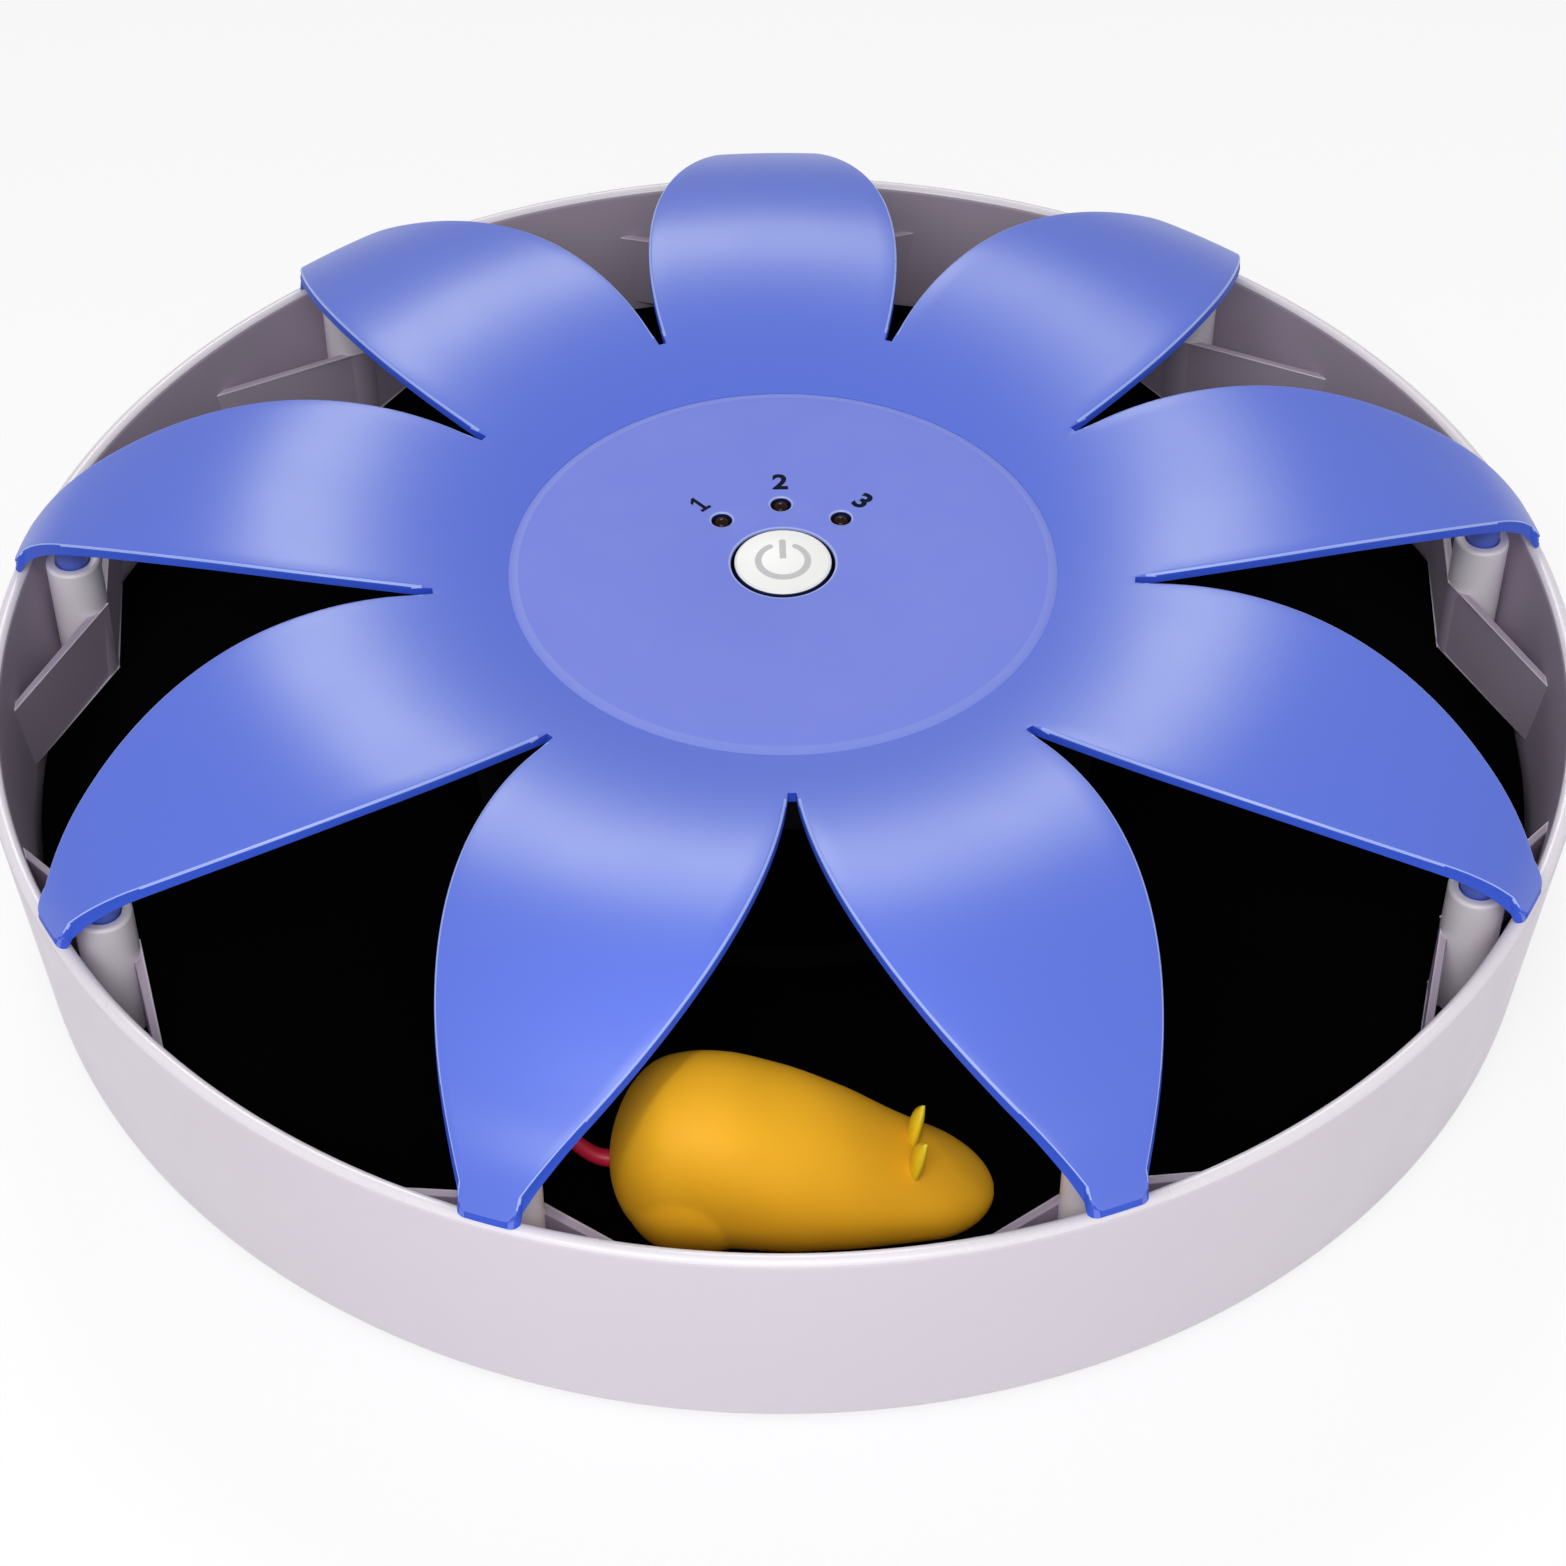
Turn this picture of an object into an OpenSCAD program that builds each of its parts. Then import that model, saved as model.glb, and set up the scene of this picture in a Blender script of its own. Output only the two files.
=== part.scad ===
// Rotating mouse cat toy: a white bowl with a flower-shaped cover, and a mouse that
// runs round a black track on a motor-driven turntable. Origin: centre of the base,
// on the surface that the feet stand on. +Z is up and the mouse waits on the -Y side.

/* [Bowl] */
// Outer diameter of the rim
bowl_d = 250; // [230:1:290]
// Height of the wall from its bottom edge to the rim
bowl_h = 38.3; // [36:0.1:48]
// Thickness of the wall
wall_t = 2.6; // [2:0.1:3.2]
// How far the wall leans in from rim to bottom edge
wall_lean = 3.1; // [1:0.1:5]
// Depth of the running track below the rim
track_depth = 23.75; // [22:0.05:26]

/* [Posts and ribs] */
// Radial distance from the rim to the posts' centres
post_inset = 9; // [8:0.1:11]
// Outer diameter of a post
post_d = 8.8; // [8:0.1:10]
// Depth of the socket in a post
socket_depth = 14; // [10:0.5:18]
// Thickness of the gusset ribs
rib_t = 1.2; // [1:0.1:1.8]
// Depth of the ribs' top edge below the rim
rib_drop = 9; // [6:0.5:14]
// Half angle that a pair of ribs spans
rib_span = 13; // [11:0.5:15]
// Gap between the ribs and the turntable
rib_gap = 0.55; // [0.4:0.05:1.5]

/* [Base] */
// Thickness of the base pan
pan_t = 2; // [1.6:0.1:3]
// Gap between the pan and the wall
pan_gap = 0.3; // [0.2:0.05:0.6]
// How far the feet stand below the pan
foot_proud = 1.2; // [0.8:0.1:2.5]
// Depth of the feet's recesses
foot_recess = 0.8; // [0.5:0.1:1.2]
// Diameter of a foot
foot_d = 12; // [8:0.5:16]
// Radial distance from the rim to the feet's centres
foot_inset = 30; // [28:0.5:34]
// Number of feet
foot_count = 6; // [3:1:9]
// Height of the pads that the base screws pass through
pad_h = 1.5; // [1:0.1:2]

/* [Turntable] */
// Thickness of the deck
deck_t = 2.5; // [2:0.1:3.5]
// Gap between the deck and the wall
deck_gap = 1; // [0.8:0.05:1.6]
// Depth of the ribs below the deck
deck_rib_h = 1.6; // [1:0.1:1.7]
// Number of ribs below the deck
deck_rib_count = 12; // [6:1:24]
// Radius of the glide ring's middle
glide_r = 80; // [74:0.5:81]
// Width of the glide ring
glide_w = 4; // [3:0.1:5]
// Height of the glide ring
glide_h = 2; // [1.5:0.1:3]
// Gap between the glide ring and the deck
glide_gap = 0.05; // [0.03:0.01:0.1]

/* [Drive] */
// Gap between the gear motor's corners and the hub's wall, which places the drive
motor_gap = 0.384; // [0.2:0.001:0.8]
// Teeth of the ring gear
ring_teeth = 96; // [94:1:98]
// Teeth of the drive pinion
pinion_teeth = 20; // [19:1:21]
// Face width of the pinion
pinion_face = 5.6; // [4:0.1:5.8]
// Play between the teeth, measured along the pitch circle
backlash = 0.25; // [0.15:0.01:0.4]
// Radial thickness of the rim outside the ring gear's teeth
gear_rim = 3.75; // [3:0.05:5]
// Thickness of the ring gear's bearing collar
collar_t = 3.9; // [3:0.1:5]
// Radial play between the collar and the hub
collar_fit = 0.08; // [0.04:0.01:0.1]
// Width of the ring gear's flange outside its collar
gear_flange_w = 8; // [7:0.1:9]
// Thickness of that flange
gear_flange_t = 4; // [3:0.1:5]
// Diameter of the motor's output shaft
shaft_d = 3; // [2:0.1:3.2]
// Radial play of the output shaft
shaft_fit = 0.05; // [0.02:0.01:0.1]

/* [Motor] */
// Width of the gear motor
motor_w = 12; // [10:0.1:12.4]
// Depth of the gear motor
motor_d = 10; // [8:0.1:10.4]
// Length of the gearbox
gearbox_h = 9; // [7:0.1:14]
// Length of the motor can
motor_can_h = 15; // [10:0.1:16]
// Thickness of the shelf that carries the motor
shelf_t = 2; // [1.5:0.1:2.5]
// Wall of the motor bracket
bracket_t = 2; // [1.5:0.1:2.2]
// Length of the bracket's screw ears
ear_l = 5; // [4.5:0.1:5.5]

/* [Hub] */
// Outer radius of the hub tower
hub_r = 46; // [45.5:0.05:46.2]
// Wall of the hub tower
hub_t = 2.2; // [1.6:0.1:2.4]
// Height of the hub's top edge above the bowl's rim
hub_rise = 9.5; // [7:0.1:10.5]

/* [Batteries] */
// Diameter of a cell
cell_d = 14.4; // [13.5:0.1:14.6]
// Length of a cell without its cap
cell_l = 49.2; // [46:0.1:50]
// Number of cells
cell_count = 3; // [2:1:3]
// Distance between the cells' axes
cell_pitch = 15; // [14.7:0.1:15.2]
// Offset of the bay from the centre, away from the motor
bay_shift = 2; // [1.5:0.1:3]
// Room at each end of a cell for its contacts
contact_room = 3.4; // [3:0.1:4]
// Wall of the battery bay
bay_t = 1.5; // [1.2:0.1:1.8]
// Gap round the battery door
door_gap = 0.3; // [0.2:0.05:0.5]

/* [Flower cover] */
// Number of petals
petal_count = 9; // [7:1:9]
// Half width of a petal at its widest
petal_half_w = 20.9; // [19:0.1:21.2]
// Radius at which a petal is widest
petal_mid_r = 73; // [70:0.5:76]
// Half width that the petal's sides would taper to at its tip
petal_point_w = 3; // [2:0.1:4]
// Half width of the tip tab
tip_half_w = 4.6; // [4:0.1:5.4]
// Corner radius of the tip tab
tip_corner_r = 1.5; // [0.8:0.1:2]
// How far the tips stop short of the rim's outer edge
tip_setback = 0.5; // [0.3:0.1:1]
// Radius at which the slots between the petals end
slot_r = 54.3; // [53.8:0.1:56]
// Thickness of the cover
cover_t = 1.7; // [1.4:0.1:2.2]
// Radius of the cover's crest
crest_r = 79; // [74:0.5:84]
// Height of the crest above the rim
crest_h = 21.1; // [19.5:0.1:24]
// Fall from the crest to the edge of the control panel
dish_drop = 7.17; // [6:0.01:7.5]
// Fall from the crest to the shoulder where a tip bends down
shoulder_drop = 9.08; // [8:0.01:10]
// Radial length of the bent tip
tip_bend = 10.5; // [9.5:0.1:12]
// Height of a tip's edge above the rim
tip_edge = 1.46; // [1.2:0.02:2]
// Diameter of the pins that plug into the posts
pin_d = 5.4; // [4.5:0.1:5.6]
// Length of a pin inside its post
pin_depth = 10; // [6:0.5:10]
// Radial play of a pin in its socket
pin_fit = 0.1; // [0.05:0.01:0.2]
// Outer radius of the skirt round the hub
skirt_r = 52; // [50.5:0.1:52.5]
// Height of the skirt's lower edge above the rim
skirt_rise = 8; // [5:0.1:9]

/* [Control panel] */
// Radius of the control panel
panel_r = 42.4; // [41:0.1:43]
// Height of the panel's face above the cover at its edge
panel_proud = 0.47; // [0.3:0.01:0.8]
// Thickness of the panel
panel_t = 1.8; // [1.5:0.1:2.2]
// Width of the panel's bevelled edge
panel_bevel = 1.5; // [1:0.1:2.5]
// Gap between the panel and its recess
panel_gap = 0.15; // [0.1:0.01:0.3]
// Thickness of the plate under the panel
plate_t = 1.6; // [1.2:0.1:2]
// Diameter of the power button
button_d = 15.5; // [13:0.1:17]
// Height of the button's rim above the panel
button_proud = 0.5; // [0.4:0.1:1.2]
// Rise of the button's domed top
button_dome = 0.6; // [0.4:0.05:1]
// Gap round the button
button_gap = 0.35; // [0.3:0.01:0.5]
// Travel of the button
button_travel = 0.6; // [0.4:0.05:0.8]
// Diameter of the indicator lamps
led_d = 3; // [2.6:0.1:3.2]
// Radius of the arc that the lamps stand on
led_arc_r = 14; // [13.5:0.1:15]
// Angle between the lamps
led_step = 42; // [36:1:46]

/* [Electronics] */
// Radius of the circuit board
board_r = 34; // [32:0.5:36]
// Thickness of the circuit board
board_t = 1.6; // [1:0.1:2]
// Radius of the circle of board screws
board_screw_r = 28; // [26:0.5:30]
// Height of the push switch
switch_h = 3.5; // [3:0.1:4]
// Width of the push switch
switch_w = 6; // [5:0.1:7]
// Height of the switch's plunger above its body
plunger_h = 1; // [0.9:0.05:1.5]
// Diameter of the plunger
plunger_d = 3.4; // [3:0.1:3.8]
// Radial play of the plunger
plunger_fit = 0.05; // [0.03:0.01:0.1]

/* [Mouse] */
// Length of the mouse's body
mouse_l = 54.4; // [50:0.1:58]
// Height of its back
mouse_h = 28.5; // [24:0.1:30]
// Width of its body
mouse_w = 26.4; // [22:0.1:27]
// Distance from the deck's edge to the circle that its middle runs on
mouse_inset = 22.8; // [22:0.1:27]
// Distance from the -Y axis to the middle of the body
mouse_lead = 0.5; // [0:0.1:5]
// Swell of the haunches
haunch_swell = 1; // [0.5:0.1:1.2]
// Thickness of an ear
mouse_ear_t = 1.8; // [1:0.1:2]
// Length of an ear from its root to its tip
mouse_ear_l = 10.6; // [9:0.1:13]
// Width of an ear
mouse_ear_w = 4.6; // [4:0.1:6]
// Diameter of the tail at its root
tail_d = 2.7; // [2:0.1:3.2]
// Play of the ears and tail in their sockets
mouse_fit = 0.1; // [0.05:0.01:0.2]

/* [Fasteners] */
// Shank diameter of the case screws
screw_d = 2.6; // [2:0.1:3]
// Head diameter of the case screws
screw_head_d = 5; // [4.4:0.1:5.4]
// Head height of the case screws
screw_head_h = 1.6; // [1.2:0.1:1.8]
// Shank diameter of the small screws
small_screw_d = 2; // [1.6:0.1:2.2]
// Head diameter of the small screws
small_head_d = 3.8; // [3.2:0.1:4]
// Head height of the small screws
small_head_h = 1.3; // [1:0.1:1.5]
// Length of the screws that hold the pan and the battery door
pan_screw_l = 7; // [6:0.1:8]
// Length of the screws that hold the hub
hub_screw_l = 8; // [6:0.1:8.5]
// Length of the screws that hold the circuit board
board_screw_l = 5.4; // [4.5:0.1:5.8]
// Depth to which the mouse's screws enter its body
mouse_screw_l = 6; // [5:0.1:7]
// Radial play of a screw in its hole
screw_fit = 0.1; // [0.05:0.01:0.2]

/* [Hidden] */
$fn = 96;

// Room that a cut runs past the face it opens
EPS = 1;
// Reach of a cut that passes everything
FAR = 400;

// Heights, from the surface that the feet stand on
pan_z = foot_proud;
pan_top = pan_z + pan_t;
pad_z = pan_top + pad_h;
rim_z = pan_z + bowl_h;
deck_z = rim_z - track_depth;
deck_low = deck_z - deck_t;
rib_low = deck_z + rib_gap;
hub_top = rim_z + hub_rise;
crest_z = rim_z + crest_h;
panel_z = crest_z - dish_drop + panel_proud;
plate_z = panel_z - panel_t;
plate_low = plate_z - plate_t;

// Bowl radii
bowl_r = bowl_d / 2;
wall_slope = wall_lean / bowl_h;
function wall_in(z) = bowl_r - wall_t - wall_slope * (rim_z - z);
post_r = bowl_r - post_inset;
socket_d = pin_d + 2 * pin_fit;
pan_r = wall_in(pan_z) - pan_gap;
deck_r = wall_in(deck_low) - deck_gap;
foot_r = bowl_r - foot_inset;
boss_d = screw_head_d + 2;

// Screws that join the pan to the bowl stand below the posts
pan_screw_inset = 4;
pan_screw_r = post_r - pan_screw_inset;
pan_screw_count = 6;
pan_screw_turn = 360 / pan_screw_count / 2;
under_gap = 0.4;
boss_roof = 0.8;
bowl_boss_top = deck_low - deck_rib_h - under_gap;

// Drive train: the pinion stands inside the hub and meshes with the ring gear
hub_in = hub_r - hub_t;
pinion_x = sqrt(pow(hub_in - motor_gap, 2) - pow(motor_w / 2, 2)) - motor_d / 2;
gear_m = 2 * pinion_x / (ring_teeth - pinion_teeth);
ring_pitch_r = gear_m * ring_teeth / 2;
pinion_pitch_r = gear_m * pinion_teeth / 2;
pinion_tip_r = pinion_pitch_r + gear_m;
dedendum = 1.25 * gear_m;
ring_tip_r = ring_pitch_r - 0.8 * gear_m;
ring_root_r = ring_pitch_r + dedendum;
collar_in = hub_r + collar_fit;
collar_out = collar_in + collar_t;
gear_flange_r = collar_out + gear_flange_w;
gear_face = 6;
end_play = 0.2;
gear_z = pan_top + 1.3;
gear_top = gear_z + gear_face;
pinion_z = gear_z + end_play / 2;
shelf_z = gear_top + end_play;
shelf_top = shelf_z + shelf_t;
shaft_z = pan_top + 0.5;
shaft_wall = 1.6;
gear_screw_r = collar_out + gear_flange_w / 2;
gear_screw_count = 4;

// Hub interior
window_half_w = pinion_tip_r - 0.4;
boss_merge = 0.4;
hub_screw_r = hub_in - boss_d / 2 + boss_merge;
hub_screw_angles = [45, 158, 202, 315];

// Battery bay
bay_half_x = (cell_count * cell_pitch) / 2;
bay_half_y = cell_l / 2 + contact_room;
cell_room = 0.4;
cell_z = pan_top + cell_room + cell_d / 2;
bay_top = cell_z + cell_d / 2 + cell_room;
cell_cap_l = 1.2;
contact_t = 0.5;
door_y0 = -bay_half_y - bay_t;
door_screw_y = bay_half_y + bay_t + boss_d / 2 + cell_room;
door_y1 = door_screw_y + boss_d / 2;
door_half_x = bay_half_x + bay_t;
tongue_w = 8;
tongue_l = 3;
tongue_t = 1.4;
tongue_gap = 0.2;

// Motor bracket
bracket_x0 = pinion_x - motor_d / 2 - bracket_t;
bracket_x1 = pinion_x + 0.35 * motor_d;
bracket_half_y = motor_w / 2 + bracket_t;
ear_t = 2;
motor_slip = 0.05;
bracket_screw_y = bracket_half_y + ear_l / 2;
bracket_screw_x = pinion_x - 2;
ear_half_x = 3;

// Control stack under the panel
button_r = button_d / 2;
button_flange_w = 1.8;
button_flange_r = button_r + button_flange_w;
button_flange_t = 1.6;
button_slack = 0.3;
button_low = plate_low - button_slack - button_flange_t;
switch_top = button_low - plunger_h;
board_top = switch_top - switch_h;
board_low = board_top - board_t;
board_screw_count = 3;
led_flange = 0.4;
led_sink = 0.2;
led_top = panel_z - led_sink;
led_body_h = 5;
led_gap = 0.15;
led_hole_r = led_d / 2 + led_gap;
LED_ANGLES = [for (i = [-1:1]) 90 + i * led_step];

// Cover section: three tangent arcs, from the panel's edge over the crest to the tips
tip_r = bowl_r - tip_setback;
shoulder = [tip_r - tip_bend, crest_z - shoulder_drop];
inner_arc_r = (pow(crest_r - panel_r, 2) + pow(dish_drop, 2)) / (2 * dish_drop);
outer_arc_r = (pow(shoulder[0] - crest_r, 2) + pow(shoulder_drop, 2)) / (2 * shoulder_drop);
shoulder_angle = asin((shoulder[0] - crest_r) / outer_arc_r);
shoulder_normal = [sin(shoulder_angle), cos(shoulder_angle)];
tip_chord = [tip_bend, rim_z + tip_edge - shoulder[1]];
tip_arc_r = -(tip_chord * tip_chord) / (2 * tip_chord * shoulder_normal);
inner_arc_at = [crest_r, crest_z - inner_arc_r];
outer_arc_at = [crest_r, crest_z - outer_arc_r];
tip_arc_at = shoulder - tip_arc_r * shoulder_normal;
function dish_z(r) = inner_arc_at[1] + sqrt(pow(inner_arc_r, 2) - pow(crest_r - r, 2));
tip_rest = 0.05;
dish_overlap = 2;
dish_angle = asin((crest_r - panel_r + dish_overlap) / inner_arc_r);
tip_turn = 60;
dish_steps = 9;
shoulder_steps = 8;
tip_steps = 8;

// Petal outline: two arcs that cross beyond the tip
petal_taper = petal_half_w - petal_point_w;
petal_arc_r = (pow(tip_r - petal_mid_r, 2) + pow(petal_taper, 2)) / (2 * petal_taper);
PETAL_ANGLES = [for (i = [0:petal_count - 1]) 90 + 360 * i / petal_count];

// Mouse: [place along the body, top, bottom, width], as shares of its length, height and width
MOUSE_FORM = [
    [0.00, 0.30, 0.30, 0.00], [0.04, 0.71, 0.07, 0.58], [0.14, 0.97, 0.01, 0.86],
    [0.27, 1.00, 0.00, 0.96], [0.44, 0.83, 0.00, 1.00], [0.60, 0.68, 0.00, 0.92],
    [0.76, 0.47, 0.00, 0.76], [0.90, 0.345, 0.005, 0.60], [0.97, 0.245, 0.02, 0.46],
    [1.00, 0.13, 0.13, 0.00]
];
mouse_rings = 30;
mouse_sides = 28;
mouse_track_r = deck_r - mouse_inset;
mouse_tail_x = mouse_lead - mouse_l / 2;
mouse_seat = 0.6;
haunch_at = [0.19, 5];
haunch_size = [6.5, 5.5];
ear_at = 0.79;
ear_splay = 6;
ear_spread = 0.125 * mouse_w;
ear_root_z = 0.29 * mouse_h;
tail_root = [mouse_tail_x + 4, 0, 0.41 * mouse_h];
TAIL_ROUTE = [
    [0, 0, 0], [-5, 0, 0], [-8, 0.3, 0.6], [-11, 1, 2.8], [-13.5, 2, 6],
    [-16.5, 3.4, 8.6], [-20.5, 5, 9.6], [-25, 7, 9.2]
];
tail_sides = 10;
tail_taper = 0.55;
mouse_screw_x = [mouse_lead - 0.22 * mouse_l, mouse_lead + 0.18 * mouse_l];

// Places children at count points of a circle
module around(r, count, start = 0) {
    for (i = [0:count - 1]) rotate(start + 360 * i / count) translate([r, 0, 0]) children();
}

module disc(r, z0, z1) {
    translate([0, 0, z0]) cylinder(r = r, h = z1 - z0);
}

module ring(r_out, r_in, z0, z1) {
    translate([0, 0, z0]) linear_extrude(z1 - z0) difference() {
        circle(r_out);
        circle(r_in);
    }
}

module block(x0, x1, y0, y1, z0, z1) {
    translate([x0, y0, z0]) cube([x1 - x0, y1 - y0, z1 - z0]);
}

// A cross-head screw with its head's bearing face at z = 0 and its shank along +Z
module screw(d, length, head_d, head_h) {
    slot_w = 0.2 * head_d;
    slot_l = 0.62 * head_d;
    difference() {
        union() {
            cylinder(d = d, h = length);
            translate([0, 0, -head_h]) cylinder(d = head_d, h = head_h);
        }
        for (turn = [0, 90]) rotate(turn)
            block(-slot_l / 2, slot_l / 2, -slot_w / 2, slot_w / 2, -head_h - EPS, -head_h / 2);
    }
}

module case_screw(length) screw(screw_d, length, screw_head_d, screw_head_h);
module small_screw(length) screw(small_screw_d, length, small_head_d, small_head_h);

// Involute gear outline with a tooth on the +X axis; slack widens each tooth along the pitch circle
function involute(r, base_r) = let (a = acos(min(1, base_r / r))) tan(a) * 180 / PI - a;
function flank_points(teeth, r_from, r_to, slack, steps = 4) =
    let (
        pitch_r = gear_m * teeth / 2,
        base_r = pitch_r * cos(20),
        half = 90 / teeth + slack / pitch_r * 90 / PI
    )
    [for (i = [0:steps]) let (r = max(base_r, r_from) + (r_to - max(base_r, r_from)) * i / steps)
        [r, half + involute(pitch_r, base_r) - involute(r, base_r)]];
module gear_outline(teeth, r_root, r_tip, slack) {
    up = flank_points(teeth, r_root, r_tip, slack);
    last = len(up) - 1;
    tooth = concat(
        [[r_root, -up[0][1]]], [for (p = up) [p[0], -p[1]]],
        [for (i = [last:-1:0]) up[i]], [[r_root, up[0][1]]]
    );
    polygon([for (k = [0:teeth - 1]) for (p = tooth) let (a = p[1] + 360 * k / teeth)
        p[0] * [cos(a), sin(a)]]);
}

// Bowl: drafted wall with a round lip, posts for the cover's pins, gusset ribs and screw bosses
module bowl_wall() {
    lip_r = wall_t / 2;
    out_low = wall_in(pan_z) + wall_t;
    lip_z = rim_z - lip_r;
    rotate_extrude() {
        polygon([
            [out_low - wall_t, pan_z], [out_low, pan_z],
            [bowl_r, lip_z], [bowl_r - wall_t, lip_z]
        ]);
        translate([bowl_r - lip_r, lip_z]) circle(lip_r);
    }
}

// Plan of one rib, from the post's inner face to the middle of the wall
module rib_plan(side) {
    start = [post_r - post_d / 2, 0];
    wall_mid = wall_in(rib_low) + wall_t / 2;
    end = wall_mid * [cos(rib_span), side * sin(rib_span)];
    along = (end - start) / norm(end - start);
    across = rib_t * [abs(along[1]), -side * along[0]];
    polygon([start, end, end + across, start + across]);
}

module bowl() {
    color("white") difference() {
        union() {
            bowl_wall();
            for (a = PETAL_ANGLES) rotate(a) {
                translate([post_r, 0, rib_low]) cylinder(d = post_d, h = rim_z - rib_low);
                for (side = [-1, 1])
                    translate([0, 0, rib_low]) linear_extrude(rim_z - rib_drop - rib_low) rib_plan(side);
            }
            around(pan_screw_r, pan_screw_count, pan_screw_turn) {
                disc(boss_d / 2, pad_z, bowl_boss_top);
                block(0, wall_in(pad_z) + wall_t / 2 - pan_screw_r, -rib_t, rib_t, pad_z, bowl_boss_top);
            }
        }
        for (a = PETAL_ANGLES) rotate(a)
            translate([post_r, 0, rim_z - socket_depth]) cylinder(d = socket_d, h = socket_depth + EPS);
        around(pan_screw_r, pan_screw_count, pan_screw_turn)
            disc(screw_d / 2 + screw_fit, pad_z - EPS, bowl_boss_top - boss_roof);
    }
}

// Base pan: floor of the toy, with the rail that carries the turntable
head_gap = 0.2;
head_z = pan_z + screw_head_h + head_gap;
module screw_pad() disc(boss_d / 2, pan_top - EPS, pad_z);
module screw_well() {
    disc(screw_head_d / 2 + head_gap, pan_z - EPS, head_z);
    disc(screw_d / 2 + screw_fit, pan_z, pad_z + EPS);
}
module at_pan_screws() around(pan_screw_r, pan_screw_count, pan_screw_turn) children();
module at_hub_screws() for (a = hub_screw_angles) rotate(a) translate([hub_screw_r, 0, 0]) children();

module door_plan(grow) {
    translate([-bay_shift - door_half_x - grow, door_y0 - grow])
        square([2 * (door_half_x + grow), door_y1 - door_y0 + 2 * grow]);
}

module base_pan() {
    rib_h = 3;
    rib_half = 0.8;
    rib_count = 12;
    rib_start = gear_flange_r + 2;
    rail_w = glide_w - 1;
    foot_fit = 0.1;
    color("whitesmoke") difference() {
        union() {
            disc(pan_r, pan_z, pan_top);
            ring(glide_r + rail_w / 2, glide_r - rail_w / 2, pan_top - EPS, deck_low - glide_gap - glide_h);
            for (i = [0:rib_count - 1]) rotate(360 * (i + 0.5) / rib_count)
                block(rib_start, foot_r, -rib_half, rib_half, pan_top - EPS, pan_top + rib_h);
            at_pan_screws() screw_pad();
            at_hub_screws() screw_pad();
            translate([pinion_x, 0, 0]) disc(shaft_d / 2 + shaft_wall, pan_top - EPS, gear_z - end_play);
        }
        translate([0, 0, pan_z - EPS]) linear_extrude(pan_t + 2 * EPS) door_plan(door_gap);
        at_pan_screws() screw_well();
        at_hub_screws() screw_well();
        around(foot_r, foot_count) disc(foot_d / 2 + foot_fit, pan_z - EPS, pan_z + foot_recess);
        translate([pinion_x, 0, 0]) disc(shaft_d / 2 + shaft_fit, shaft_z - end_play, gear_z);
    }
}

module rubber_feet() {
    chamfer = 0.5;
    color("dimgray") around(foot_r, foot_count) {
        disc(foot_d / 2, chamfer, pan_z + foot_recess);
        cylinder(r1 = foot_d / 2 - chamfer, r2 = foot_d / 2, h = chamfer);
    }
}

module pan_screws() {
    color("silver") at_pan_screws() translate([0, 0, head_z]) case_screw(pan_screw_l);
}

module hub_screws() {
    color("silver") at_hub_screws() translate([0, 0, head_z]) case_screw(hub_screw_l);
}

// Hub: fixed tower that the turntable runs round, with the battery bay and the motor shelf
module bay_box(grow, z0, z1) {
    block(-bay_shift - bay_half_x - grow, -bay_shift + bay_half_x + grow,
        -bay_half_y - grow, bay_half_y + grow, z0, z1);
}

module hub_housing() {
    screw_boss_h = 9;
    web_half = 1;
    color("#151517") difference() {
        union() {
            ring(hub_r, hub_in, pan_top, hub_top);
            bay_box(bay_t, pan_top, bay_top + bay_t);
            intersection() {
                disc(hub_in + EPS, shelf_z, shelf_top);
                block(bay_half_x - bay_shift, hub_r, -FAR, FAR, shelf_z, shelf_top);
            }
            intersection() {
                disc(hub_in + EPS, pad_z, pad_z + screw_boss_h);
                at_hub_screws() disc(boss_d / 2, pad_z, pad_z + screw_boss_h);
            }
            translate([-bay_shift, door_screw_y, 0]) disc(boss_d / 2, pan_top, pan_top + screw_boss_h);
            block(-bay_shift - web_half, -bay_shift + web_half, bay_half_y, hub_in + EPS,
                pan_top, pan_top + screw_boss_h);
        }
        bay_box(0, pan_top - EPS, bay_top);
        block(pinion_x - 2, hub_r + EPS, -window_half_w, window_half_w, pan_top - EPS, shelf_z);
        translate([pinion_x, 0, 0]) disc(shaft_d / 2 + shaft_wall, shelf_z - EPS, shelf_top + EPS);
        at_hub_screws() {
            disc(boss_d / 2 + head_gap, pan_top - EPS, pad_z);
            disc(screw_d / 2 + screw_fit, pad_z - EPS, pad_z + screw_boss_h - boss_roof);
        }
        translate([-bay_shift, door_screw_y, 0])
            disc(screw_d / 2 + screw_fit, pan_top - EPS, pan_top + screw_boss_h - boss_roof);
        for (x = [-1, 1]) translate([-bay_shift + x * bay_half_x / 2, door_y0 - tongue_l, 0])
            block(-tongue_w / 2 - tongue_gap, tongue_w / 2 + tongue_gap, 0, tongue_l + bay_t + EPS,
                pan_top - EPS, pan_top + tongue_t + tongue_gap);
        for (side = [-1, 1]) translate([bracket_screw_x, side * bracket_screw_y, 0])
            disc(small_screw_d / 2 + screw_fit, shelf_z - EPS, shelf_top + EPS);
    }
}

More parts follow.
